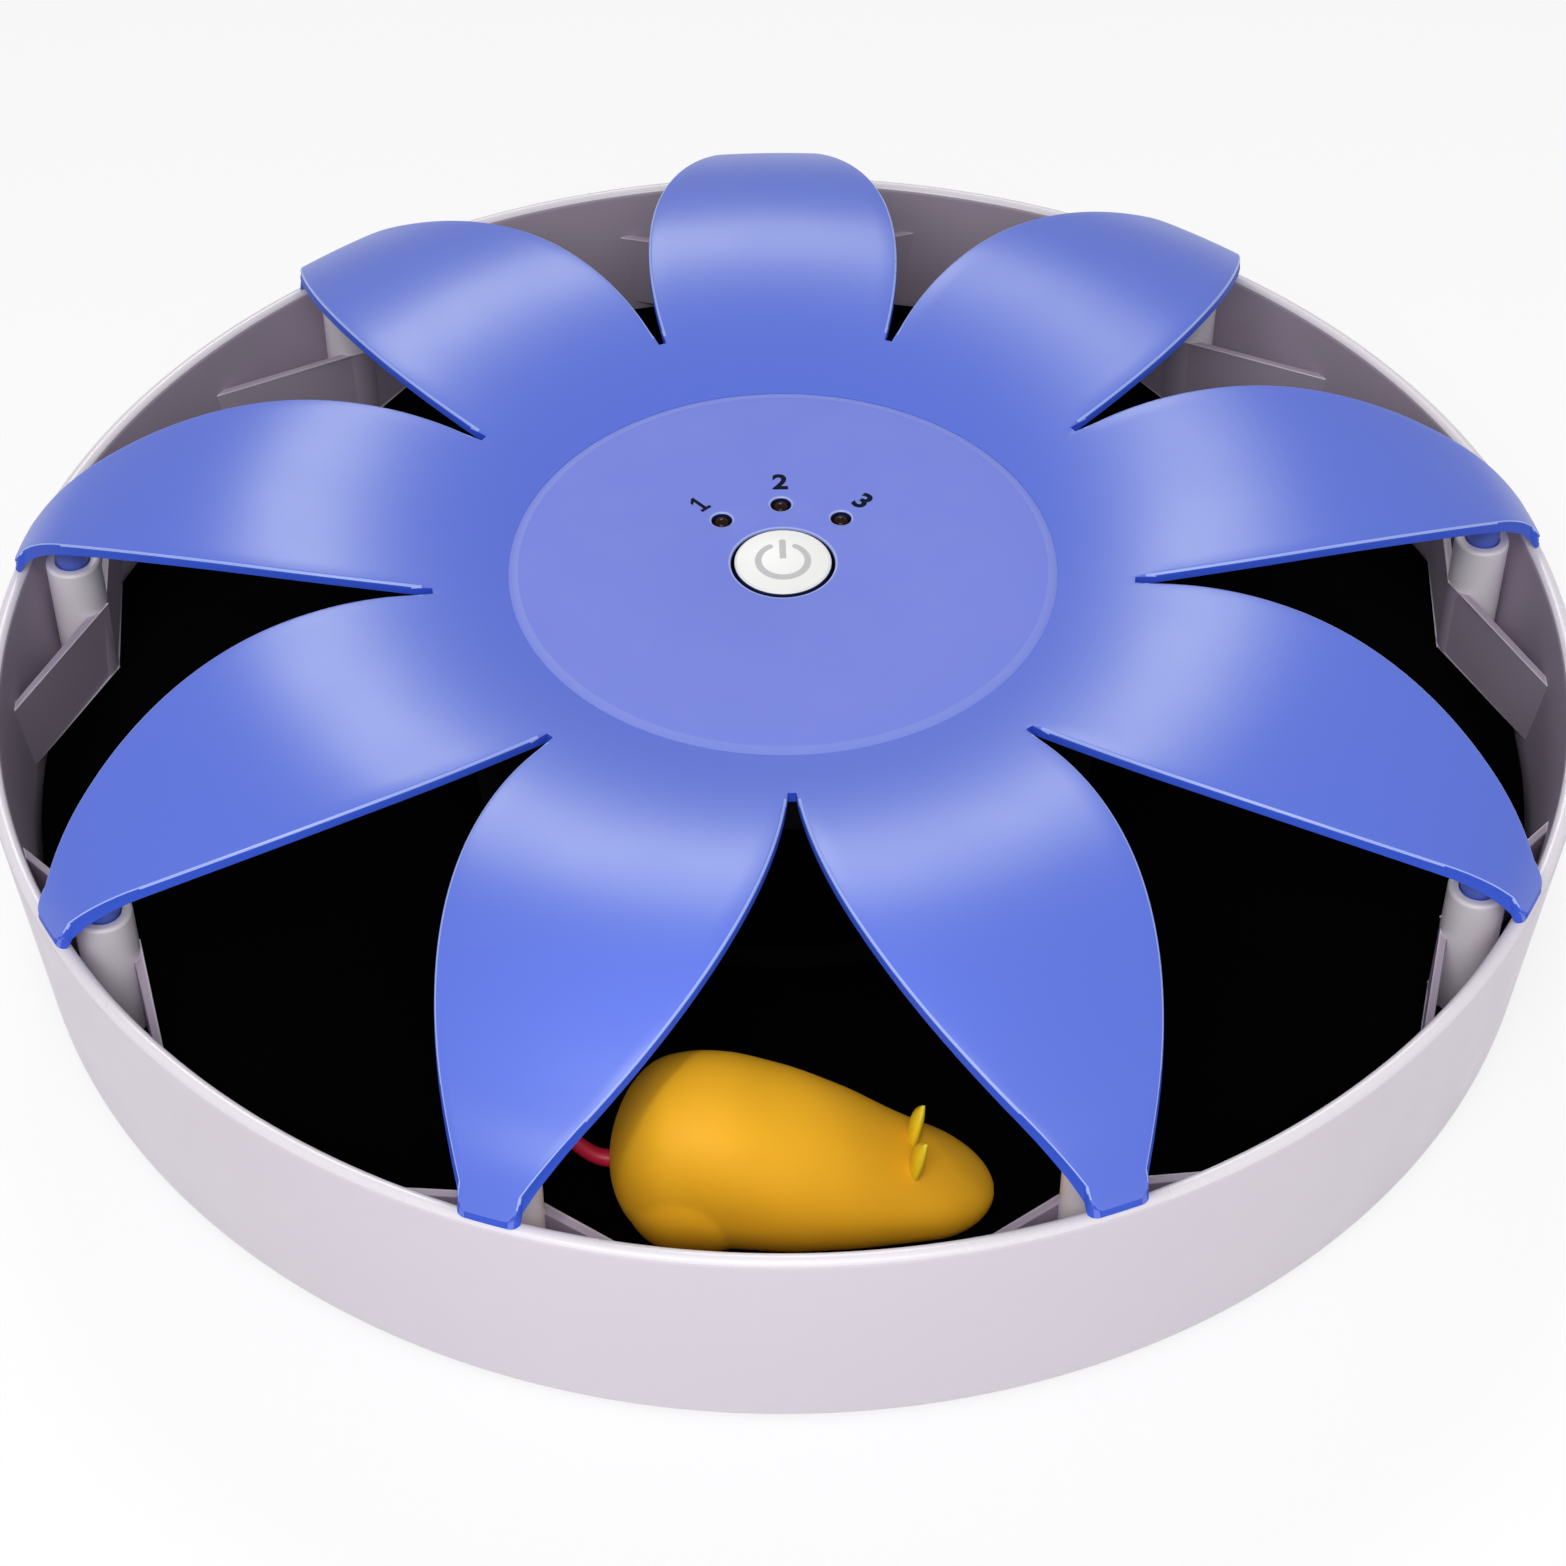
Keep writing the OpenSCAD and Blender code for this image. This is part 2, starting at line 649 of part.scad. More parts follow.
module battery_door() {
    sink = screw_head_h - 0.4;
    grips = 5;
    grip_pitch = 2.4;
    grip_half = [10, 0.6];
    color("whitesmoke") difference() {
        union() {
            translate([0, 0, pan_z]) linear_extrude(pan_t) door_plan(0);
            for (x = [-1, 1]) translate([-bay_shift + x * bay_half_x / 2, door_y0, 0]) {
                block(-tongue_w / 2, tongue_w / 2, 0, bay_t + 2, pan_top - EPS, pan_top + tongue_t);
                block(-tongue_w / 2, tongue_w / 2, -tongue_l + 2 * tongue_gap, EPS,
                    pan_top + tongue_gap / 2, pan_top + tongue_t);
            }
        }
        translate([-bay_shift, door_screw_y, 0]) {
            disc(screw_head_d / 2 + head_gap, pan_z - EPS, pan_z + sink);
            disc(screw_d / 2 + screw_fit, pan_z - EPS, pan_top + EPS);
        }
        for (i = [0:grips - 1]) translate([-bay_shift, door_y0 + grip_pitch * (i + 2.5), 0])
            block(-grip_half[0], grip_half[0], -grip_half[1], grip_half[1], pan_z - EPS, pan_z + 0.5);
    }
}

module door_screw() {
    color("silver") translate([-bay_shift, door_screw_y, pan_z + screw_head_h - 0.4]) case_screw(pan_screw_l);
}

// Cells lie side by side along Y, each turned the other way from its neighbour
module at_cells() {
    for (i = [0:cell_count - 1])
        translate([-bay_shift + (i - (cell_count - 1) / 2) * cell_pitch, 0, cell_z])
            rotate([i % 2 == 0 ? 90 : -90, 0, 0]) children();
}

module battery_cells() {
    color("darkslateblue") at_cells() {
        translate([0, 0, -cell_l / 2]) cylinder(d = cell_d, h = cell_l);
        translate([0, 0, cell_l / 2]) cylinder(d = 0.37 * cell_d, h = cell_cap_l);
    }
}

module battery_contacts() {
    plate_w = 0.8 * cell_d;
    plate_at = bay_half_y - contact_t;
    touch = 0.1;
    color("goldenrod") at_cells() {
        for (end = [-1, 1]) translate([-plate_w / 2, -plate_w / 2, end > 0 ? plate_at : -bay_half_y])
            cube([plate_w, plate_w, contact_t]);
        translate([0, 0, -plate_at - touch])
            cylinder(r1 = 0.36 * cell_d, r2 = 0.24 * cell_d, h = contact_room - contact_t);
        translate([0, 0, cell_l / 2 + cell_cap_l + touch])
            cylinder(r = 0.15 * cell_d, h = contact_room - cell_cap_l - 2 * touch);
    }
}

// Gear motor standing on the shelf, shaft down
module motor_section() {
    intersection() {
        circle(d = motor_w);
        square([motor_d, motor_w], center = true);
    }
}

module motor_can() {
    cap_h = 0.8;
    terminal = [0.4, 1.8, 2.2];
    low = shelf_top + gearbox_h;
    color("gainsboro") translate([pinion_x, 0, low]) {
        linear_extrude(motor_can_h) motor_section();
        translate([0, 0, motor_can_h - EPS]) cylinder(r = 0.3 * motor_d, h = cap_h + EPS);
        for (side = [-1, 1]) translate([0, side * 0.32 * motor_w, motor_can_h - EPS])
            translate([-terminal[0] / 2, -terminal[1] / 2, 0]) cube(terminal + [0, 0, EPS]);
    }
}

module gearbox() {
    plate = 0.8;
    pillar_d = 1.8;
    mid = gearbox_h * 0.55;
    color("goldenrod") translate([pinion_x, 0, shelf_top]) difference() {
        union() {
            for (z = [0, mid, gearbox_h - plate]) translate([-motor_d / 2, -motor_w / 2, z])
                cube([motor_d, motor_w, plate]);
            for (sx = [-1, 1]) translate([sx * 0.34 * motor_d, sx * 0.36 * motor_w, 0])
                cylinder(d = pillar_d, h = gearbox_h);
            translate([0.16 * motor_d, -0.2 * motor_w, plate])
                cylinder(r = 0.2 * motor_d, h = mid - plate);
            translate([0, 0, mid + plate]) cylinder(r = 0.34 * motor_d, h = 1.4);
        }
        translate([0, 0, -EPS]) cylinder(d = shaft_d + 2 * shaft_fit, h = mid - end_play + EPS);
    }
}

module motor_bracket() {
    color("#202022") difference() {
        union() {
            block(bracket_x0, bracket_x1, -bracket_half_y, bracket_half_y, shelf_top, shelf_top + gearbox_h);
            block(bracket_screw_x - ear_half_x, bracket_screw_x + ear_half_x,
                -bracket_half_y - ear_l, bracket_half_y + ear_l,
                shelf_top, shelf_top + ear_t);
        }
        block(pinion_x - motor_d / 2 - motor_slip, hub_r, -motor_w / 2 - motor_slip,
            motor_w / 2 + motor_slip, shelf_top - EPS, shelf_top + gearbox_h + EPS);
        for (side = [-1, 1]) translate([bracket_screw_x, side * bracket_screw_y, 0])
            disc(small_screw_d / 2 + screw_fit, shelf_top - EPS, shelf_top + ear_t + EPS);
    }
}

module bracket_screws() {
    color("silver") for (side = [-1, 1])
        translate([bracket_screw_x, side * bracket_screw_y, shelf_top + ear_t])
            mirror([0, 0, 1]) small_screw(ear_t + shelf_t - end_play);
}

module glide_ring() {
    top = deck_low - glide_gap;
    color("ivory") ring(glide_r + glide_w / 2, glide_r - glide_w / 2, top - glide_h, top);
}

// Turntable: black deck of the running track, on the ring gear's collar
module at_gear_screws() around(gear_screw_r, gear_screw_count, 45) children();

module turntable() {
    lip_t = 2;
    lip_h = 1.2;
    bore_fit = 0.05;
    rib_half = 0.7;
    rib_end = glide_w / 2 + 1;
    color("#0c0c0e") difference() {
        union() {
            ring(deck_r, collar_out + bore_fit, deck_low, deck_z);
            ring(deck_r, deck_r - lip_t, deck_low - lip_h, deck_low + EPS);
            for (i = [0:deck_rib_count - 1]) rotate(360 * i / deck_rib_count) {
                block(gear_flange_r + 1, glide_r - rib_end, -rib_half, rib_half,
                    deck_low - deck_rib_h, deck_low + EPS);
                block(glide_r + rib_end, deck_r - lip_t / 2, -rib_half, rib_half,
                    deck_low - deck_rib_h, deck_low + EPS);
            }
        }
        at_gear_screws() disc(small_screw_d / 2 + screw_fit, deck_low - EPS, deck_z + EPS);
        at_mouse_screws() disc(small_screw_d / 2 + screw_fit, deck_low - EPS, deck_z + EPS);
    }
}

module ring_gear() {
    flange_low = deck_low - gear_flange_t;
    color("#101012") difference() {
        union() {
            disc(ring_root_r + gear_rim, gear_z, flange_low);
            disc(gear_flange_r, flange_low, deck_low);
            disc(collar_out, deck_low, deck_z);
        }
        translate([0, 0, gear_z - EPS]) linear_extrude(gear_top - gear_z + EPS)
            gear_outline(ring_teeth, ring_tip_r, ring_root_r, backlash / 2);
        disc(collar_in, gear_z - EPS, deck_z + EPS);
        at_gear_screws()
            disc(small_screw_d / 2 + screw_fit, flange_low + boss_roof, deck_low + EPS);
    }
}

module ring_gear_screws() {
    color("silver") at_gear_screws()
        translate([0, 0, deck_z]) mirror([0, 0, 1]) small_screw(deck_t + gear_flange_t - 1.5 * boss_roof);
}

module drive_pinion() {
    bore_fit = 0.02;
    color("ivory") translate([pinion_x, 0, pinion_z]) difference() {
        linear_extrude(pinion_face)
            gear_outline(pinion_teeth, pinion_pitch_r - dedendum, pinion_tip_r, -backlash / 2);
        translate([0, 0, -EPS]) cylinder(d = shaft_d + 2 * bore_fit, h = pinion_face + 2 * EPS);
    }
}

module output_shaft() {
    top = shelf_top + gearbox_h * 0.5;
    color("silver") translate([pinion_x, 0, 0]) disc(shaft_d / 2, shaft_z, top);
}

// Flower cover: a revolved shell of three tangent arcs, cut to the petals' outline
function arc_points(at, r, from, to, steps) =
    [for (i = [0:steps]) let (a = from + (to - from) * i / steps) at + r * [sin(a), cos(a)]];
function cover_curve(inset) = concat(
    arc_points(inner_arc_at, inner_arc_r - inset, -dish_angle, -dish_angle / dish_steps, dish_steps - 1),
    arc_points(outer_arc_at, outer_arc_r - inset, 0, shoulder_angle, shoulder_steps),
    arc_points(tip_arc_at, tip_arc_r - inset, shoulder_angle + tip_turn / tip_steps, shoulder_angle + tip_turn,
        tip_steps - 1)
);

module box_2d(r0, r1, z0, z1) translate([r0, z0]) square([r1 - r0, z1 - z0]);

module cover_section() {
    recess_r = panel_r + panel_gap;
    skirt_t = 1.6;
    lip_out = hub_r - 0.2;
    under = cover_curve(cover_t);
    difference() {
        union() {
            polygon(concat(cover_curve(0), [for (i = [len(under) - 1:-1:0]) under[i]]));
            box_2d(0, recess_r + skirt_t, plate_low, plate_z);
            box_2d(recess_r, recess_r + skirt_t, plate_low, dish_z(recess_r) - cover_t / 2);
            box_2d(lip_out - skirt_t, lip_out, hub_top, dish_z(hub_r) - cover_t / 2);
            box_2d(skirt_r - skirt_t, skirt_r, rim_z + skirt_rise, dish_z(skirt_r) - cover_t / 2);
        }
        box_2d(0, recess_r, plate_z, crest_z);
        box_2d(crest_r, FAR, -FAR, rim_z + tip_rest);
    }
}

// Room below the middle of a bent tip's thickness, which its pin fills
module under_tip() {
    polygon(concat(
        arc_points(tip_arc_at, tip_arc_r - cover_t / 2, shoulder_angle - 10, shoulder_angle + tip_turn, tip_steps),
        [[tip_r, rim_z - 2 * pin_depth], [shoulder[0] - pin_d, rim_z - 2 * pin_depth]]
    ));
}

module petal_plan() {
    side_at = petal_arc_r - petal_half_w;
    intersection_for (side = [-1, 1]) translate([petal_mid_r, side * side_at]) circle(petal_arc_r, $fn = 360);
}

module tip_plan() {
    corner_x = tip_r - tip_corner_r;
    corner_y = tip_half_w - tip_corner_r;
    start_x = shoulder[0] + 0.55 * tip_bend;
    translate([start_x, -tip_half_w]) square([corner_x - start_x, 2 * tip_half_w]);
    translate([start_x, -corner_y]) square([tip_r - start_x, 2 * corner_y]);
    for (side = [-1, 1]) translate([corner_x, side * corner_y]) circle(tip_corner_r);
}

module flower_plan() {
    circle(slot_r);
    for (a = PETAL_ANGLES) rotate(a) {
        intersection() {
            petal_plan();
            translate([slot_r / 2, -FAR / 2]) square([tip_r - tip_corner_r - slot_r / 2, FAR]);
        }
        tip_plan();
    }
}

module at_board_screws() around(board_screw_r, board_screw_count, 30) children();

module flower_cover() {
    boss_wall = 1.8;
    boss_r = small_screw_d / 2 + boss_wall;
    color("#6f84e0") difference() {
        union() {
            intersection() {
                rotate_extrude($fn = 180) cover_section();
                translate([0, 0, rim_z - EPS]) linear_extrude(crest_h + 2 * EPS) flower_plan();
            }
            for (a = PETAL_ANGLES) rotate(a) intersection() {
                translate([post_r, 0, 0]) disc(pin_d / 2, rim_z - pin_depth, crest_z);
                rotate([90, 0, 0]) linear_extrude(2 * pin_d, center = true) under_tip();
            }
            at_board_screws() disc(boss_r, board_top, plate_low + EPS / 2);
        }
        disc(button_r + button_gap, plate_low - EPS, plate_z + EPS);
        for (a = LED_ANGLES) rotate(a) translate([led_arc_r, 0, 0])
            disc(led_d / 2 + led_flange + led_gap, plate_low - EPS, plate_z + EPS);
        at_board_screws() disc(small_screw_d / 2 + screw_fit, board_top - EPS, plate_low - boss_roof);
    }
}

module control_panel() {
    bevel_h = panel_proud + 0.1;
    sink = 0.15;
    color("#8792e2") difference() {
        rotate_extrude() polygon([
            [0, plate_z], [panel_r, plate_z], [panel_r, panel_z - bevel_h],
            [panel_r - panel_bevel, panel_z], [0, panel_z]
        ]);
        disc(button_r + button_gap, plate_z - EPS, panel_z + EPS);
        for (a = LED_ANGLES) rotate(a) translate([led_arc_r, 0, 0]) {
            disc(led_hole_r, plate_z - EPS, panel_z + EPS);
            translate([0, 0, panel_z - sink]) cylinder(r1 = led_hole_r, r2 = led_hole_r + 2 * sink, h = 2 * sink);
        }
    }
}

module circuit_board() {
    color("seagreen") difference() {
        disc(board_r, board_low, board_top);
        at_board_screws() disc(small_screw_d / 2 + screw_fit, board_low - EPS, board_top + EPS);
    }
}

switch_floor = 0.8;
plunger_low = board_top + switch_floor + button_travel + button_slack;

module push_switch() {
    color("#1c1c1e") difference() {
        block(-switch_w / 2, switch_w / 2, -switch_w / 2, switch_w / 2, board_top, switch_top);
        disc(plunger_d / 2 + plunger_fit, board_top + switch_floor, switch_top + EPS);
    }
}

module switch_plunger() {
    color("#333336") disc(plunger_d / 2, plunger_low, button_low);
}

module indicator_lamps() {
    led_r = led_d / 2;
    leg = 0.5;
    led_low = led_top - led_body_h;
    color("saddlebrown") for (a = LED_ANGLES) rotate(a) translate([led_arc_r, 0, 0]) {
        disc(led_r, led_low, led_top - led_r);
        translate([0, 0, led_top - led_r]) sphere(led_r);
        disc(led_r + led_flange, led_low, led_low + 1);
        for (side = [-1, 1]) translate([0, side * 0.42 * led_d, 0])
            block(-leg / 2, leg / 2, -leg / 2, leg / 2, board_top, led_low + 0.5);
    }
}

module board_screws() {
    color("silver") at_board_screws() translate([0, 0, board_low]) small_screw(board_screw_l);
}

module power_button() {
    rim = panel_z + button_proud;
    dome_r = (pow(button_r, 2) + pow(button_dome, 2)) / (2 * button_dome);
    color("white") {
        disc(button_flange_r, button_low, button_low + button_flange_t);
        disc(button_r, button_low, rim);
        rotate_extrude() intersection() {
            translate([0, rim + button_dome - dome_r]) circle(dome_r, $fn = 360);
            box_2d(0, button_r, rim - EPS, rim + button_dome);
        }
    }
}

// Mouse: a lofted body on the deck, with ears and tail let into it
function slope(form, i, c) = (form[i + 1][c] - form[i][c]) / (form[i + 1][0] - form[i][0]);
function tangent(form, i, c) =
    i == 0 ? 1.5 * slope(form, 0, c) :
    i == len(form) - 1 ? 1.5 * slope(form, i - 1, c) :
    let (a = slope(form, i - 1, c), b = slope(form, i, c)) a * b <= 0 ? 0 : 2 * a * b / (a + b);
function span(form, s, i = 0) = i >= len(form) - 2 || s <= form[i + 1][0] ? i : span(form, s, i + 1);
function along(form, s, c) =
    let (
        i = span(form, s), w = form[i + 1][0] - form[i][0], t = (s - form[i][0]) / w,
        t2 = t * t, t3 = t2 * t
    )
    (2 * t3 - 3 * t2 + 1) * form[i][c] + (t3 - 2 * t2 + t) * w * tangent(form, i, c)
        + (3 * t2 - 2 * t3) * form[i + 1][c] + (t3 - t2) * w * tangent(form, i + 1, c);

// One point of the body's skin: s along the body, a round the section
function round_power(v) = sign(v) * pow(abs(v), 0.9);
function haunch(x, z) = let (
        u = (x - (haunch_at[0] - 0.5) * mouse_l) / haunch_size[0], v = (z - haunch_at[1]) / haunch_size[1]
    ) haunch_swell * exp(-u * u - v * v);
function mouse_point(s, a) =
    let (
        x = (s - 0.5) * mouse_l,
        top = along(MOUSE_FORM, s, 1) * mouse_h,
        low = along(MOUSE_FORM, s, 2) * mouse_h,
        half = along(MOUSE_FORM, s, 3) * mouse_w / 2,
        z = (top + low) / 2 + round_power(sin(a)) * (top - low) / 2,
        y = round_power(cos(a)) * half
    )
    [x, y + sign(y) * haunch(x, z), z];

function tube_faces(rings, sides) = concat(
    [for (i = [0:rings - 2]) for (j = [0:sides - 1]) let (k = (j + 1) % sides)
        each [
            [i * sides + j, i * sides + k, (i + 1) * sides + k],
            [i * sides + j, (i + 1) * sides + k, (i + 1) * sides + j]
        ]],
    [[for (j = [sides - 1:-1:0]) j], [for (j = [0:sides - 1]) (rings - 1) * sides + j]]
);

module mouse_loft() {
    end = 0.004;
    stations = [for (i = [0:mouse_rings - 1]) end + (1 - 2 * end) * (1 - cos(180 * i / (mouse_rings - 1))) / 2];
    points = [for (s = stations) for (j = [0:mouse_sides - 1]) mouse_point(s, 360 * j / mouse_sides)];
    polyhedron(points, tube_faces(mouse_rings, mouse_sides));
}

module on_track() translate([0, -mouse_track_r, deck_z]) children();
module at_mouse_screws() for (x = mouse_screw_x) translate([x, -mouse_track_r, 0]) children();

// Ear: a pointed leaf, thin along the mouse, that leans a little outwards from its root
module ear_leaf(grow) {
    arc_r = (pow(mouse_ear_l / 2, 2) + pow(mouse_ear_w / 2, 2)) / mouse_ear_w;
    x = (ear_at - 0.5) * mouse_l + mouse_lead;
    for (side = [-1, 1]) translate([x, side * ear_spread, ear_root_z]) rotate([-side * ear_splay, 0, 0])
        translate([-mouse_ear_t / 2 - grow, 0, mouse_ear_l / 2]) rotate([90, 0, 90])
            linear_extrude(mouse_ear_t + 2 * grow) intersection_for (s = [-1, 1])
                translate([s * (arc_r - mouse_ear_w / 2), 0]) circle(arc_r + grow);
}

module mouse_body() {
    pilot = mouse_screw_l + 2;
    tail_bore = mouse_l / 2;
    color("#e8ae2f") on_track() difference() {
        translate([mouse_lead, 0, -mouse_seat]) mouse_loft();
        block(-FAR, FAR, -FAR, FAR, -FAR, 0);
        ear_leaf(mouse_fit);
        translate(tail_root + [0.2, 0, 0]) rotate([0, -90, 0]) cylinder(d = tail_d + 2 * mouse_fit, h = tail_bore);
        for (x = mouse_screw_x) translate([x, 0, 0]) disc(small_screw_d / 2 + screw_fit, -EPS, pilot);
    }
}

module mouse_ears() {
    color("#e6cf2a") on_track() ear_leaf(0);
}

// Tail: a stiff tapered tube along its route, each ring square to the route
function tail_ring(i) =
    let (
        n = len(TAIL_ROUTE), a = TAIL_ROUTE[max(0, i - 1)], b = TAIL_ROUTE[min(n - 1, i + 1)],
        d = (b - a) / norm(b - a), side = cross(d, [0, 0, 1]) / norm(cross(d, [0, 0, 1])), up = cross(side, d),
        r = tail_d / 2 * (1 - (1 - tail_taper) * max(0, i - 1) / (n - 2))
    )
    [for (j = [0:tail_sides - 1]) let (t = 360 * j / tail_sides)
        tail_root + TAIL_ROUTE[i] + r * (cos(t) * side + sin(t) * up)];

module mouse_tail() {
    rings = len(TAIL_ROUTE);
    points = [for (i = [0:rings - 1]) each tail_ring(i)];
    color("#b01c3e") on_track() polyhedron(points, tube_faces(rings, tail_sides));
}

module mouse_screws() {
    color("silver") at_mouse_screws() translate([0, 0, deck_low]) small_screw(deck_t + mouse_screw_l);
}

bowl();
base_pan();
rubber_feet();
pan_screws();
hub_housing();
hub_screws();
battery_door();
door_screw();
battery_cells();
battery_contacts();
motor_can();
gearbox();
motor_bracket();
bracket_screws();
glide_ring();
flower_cover();
control_panel();
circuit_board();
push_switch();
indicator_lamps();
board_screws();
turntable();
ring_gear();
ring_gear_screws();
mouse_body();
mouse_ears();
mouse_tail();
mouse_screws();
drive_pinion();
output_shaft();
power_button();
switch_plunger();
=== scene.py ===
"""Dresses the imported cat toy: a flower cover over a turntable on which a mouse runs.

Fine meshes with rounded edges stand over the CAD frame, every piece has a procedural
finish, and a plain studio with the photograph's camera closes the scene.
"""

import logging
from dataclasses import dataclass, field
from enum import Enum
from functools import partial
from math import asin, atan2, copysign, cos, hypot, pi, radians, sin, sqrt, tan
from typing import Callable, Optional, Sequence, Union

import bmesh
import bpy
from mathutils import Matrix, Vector

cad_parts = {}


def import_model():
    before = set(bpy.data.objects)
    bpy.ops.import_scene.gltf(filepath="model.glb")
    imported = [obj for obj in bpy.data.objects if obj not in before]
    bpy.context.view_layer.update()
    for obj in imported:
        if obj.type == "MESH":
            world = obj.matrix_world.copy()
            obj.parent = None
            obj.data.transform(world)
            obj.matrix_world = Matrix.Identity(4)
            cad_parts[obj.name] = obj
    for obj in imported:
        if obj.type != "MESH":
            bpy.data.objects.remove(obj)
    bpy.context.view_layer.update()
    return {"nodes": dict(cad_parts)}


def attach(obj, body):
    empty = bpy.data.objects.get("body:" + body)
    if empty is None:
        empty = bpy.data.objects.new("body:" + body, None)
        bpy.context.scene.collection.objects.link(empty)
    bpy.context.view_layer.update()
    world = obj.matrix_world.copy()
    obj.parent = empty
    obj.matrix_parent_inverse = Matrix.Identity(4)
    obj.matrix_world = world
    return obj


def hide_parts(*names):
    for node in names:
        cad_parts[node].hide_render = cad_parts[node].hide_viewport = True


LOG = logging.getLogger("cat_toy")
MM = 0.001
TURN = 2.0 * pi
# Distance in metres within which split vertices of a CAD node join
WELD_M = 1e-6

Point = tuple[float, float, float]
Flat = tuple[float, float]
Colour = tuple[float, float, float, float]
Rings = Sequence[Sequence[Point]]
Zone = Callable[[Vector, Vector], int]
Tree = bpy.types.NodeTree
Socket = bpy.types.NodeSocket
Key = Union[str, int]
Inputs = Optional[dict[Key, object]]

WHITE: Colour = (1.0, 1.0, 1.0, 1.0)


class Body(Enum):
    """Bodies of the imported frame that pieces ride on."""

    BASE = "base"
    TURNTABLE = "turntable"
    BUTTON = "button"


class Ends(Enum):
    """Ways to close the ends of a skin."""

    OPEN = "open"
    FLAT = "flat"
    POLE = "pole"


def linear(code: str) -> Colour:
    """Turns an sRGB hex value into a linear colour.

    Args:
        code: the value as #rrggbb.

    Returns:
        Linear red, green and blue, with alpha 1.
    """
    shares = [int(code[i : i + 2], 16) / 255.0 for i in (1, 3, 5)]
    rgb = [s / 12.92 if s <= 0.04045 else ((s + 0.055) / 1.055) ** 2.4 for s in shares]
    return (rgb[0], rgb[1], rgb[2], 1.0)


def add_node(
    tree: Tree, kind: str, values: Inputs = None, links: Inputs = None, out: Key = 0, **settings: object
) -> Optional[Socket]:
    """Adds one shader node with its settings and links.

    Args:
        tree: the node tree that takes it.
        kind: Blender's name of the node type.
        values: what its unlinked inputs hold.
        links: the outputs that its other inputs read.
        out: the output that is wanted.
        settings: the node's own properties.

    Returns:
        That output, or None from a node that has none.
    """
    node = tree.nodes.new(kind)
    for key, value in settings.items():
        setattr(node, key, value)
    for key, value in (values or {}).items():
        node.inputs[key].default_value = value
    for key, socket in (links or {}).items():
        tree.links.new(socket, node.inputs[key])
    return node.outputs[out] if len(node.outputs) else None


def put(name: str, data: bpy.types.ID) -> bpy.types.Object:
    """Makes an object of the data and links it to the scene.

    Args:
        name: the object's name.
        data: its mesh, text, lamp or camera.

    Returns:
        The object.
    """
    made = bpy.data.objects.new(name, data)
    bpy.context.scene.collection.objects.link(made)
    return made


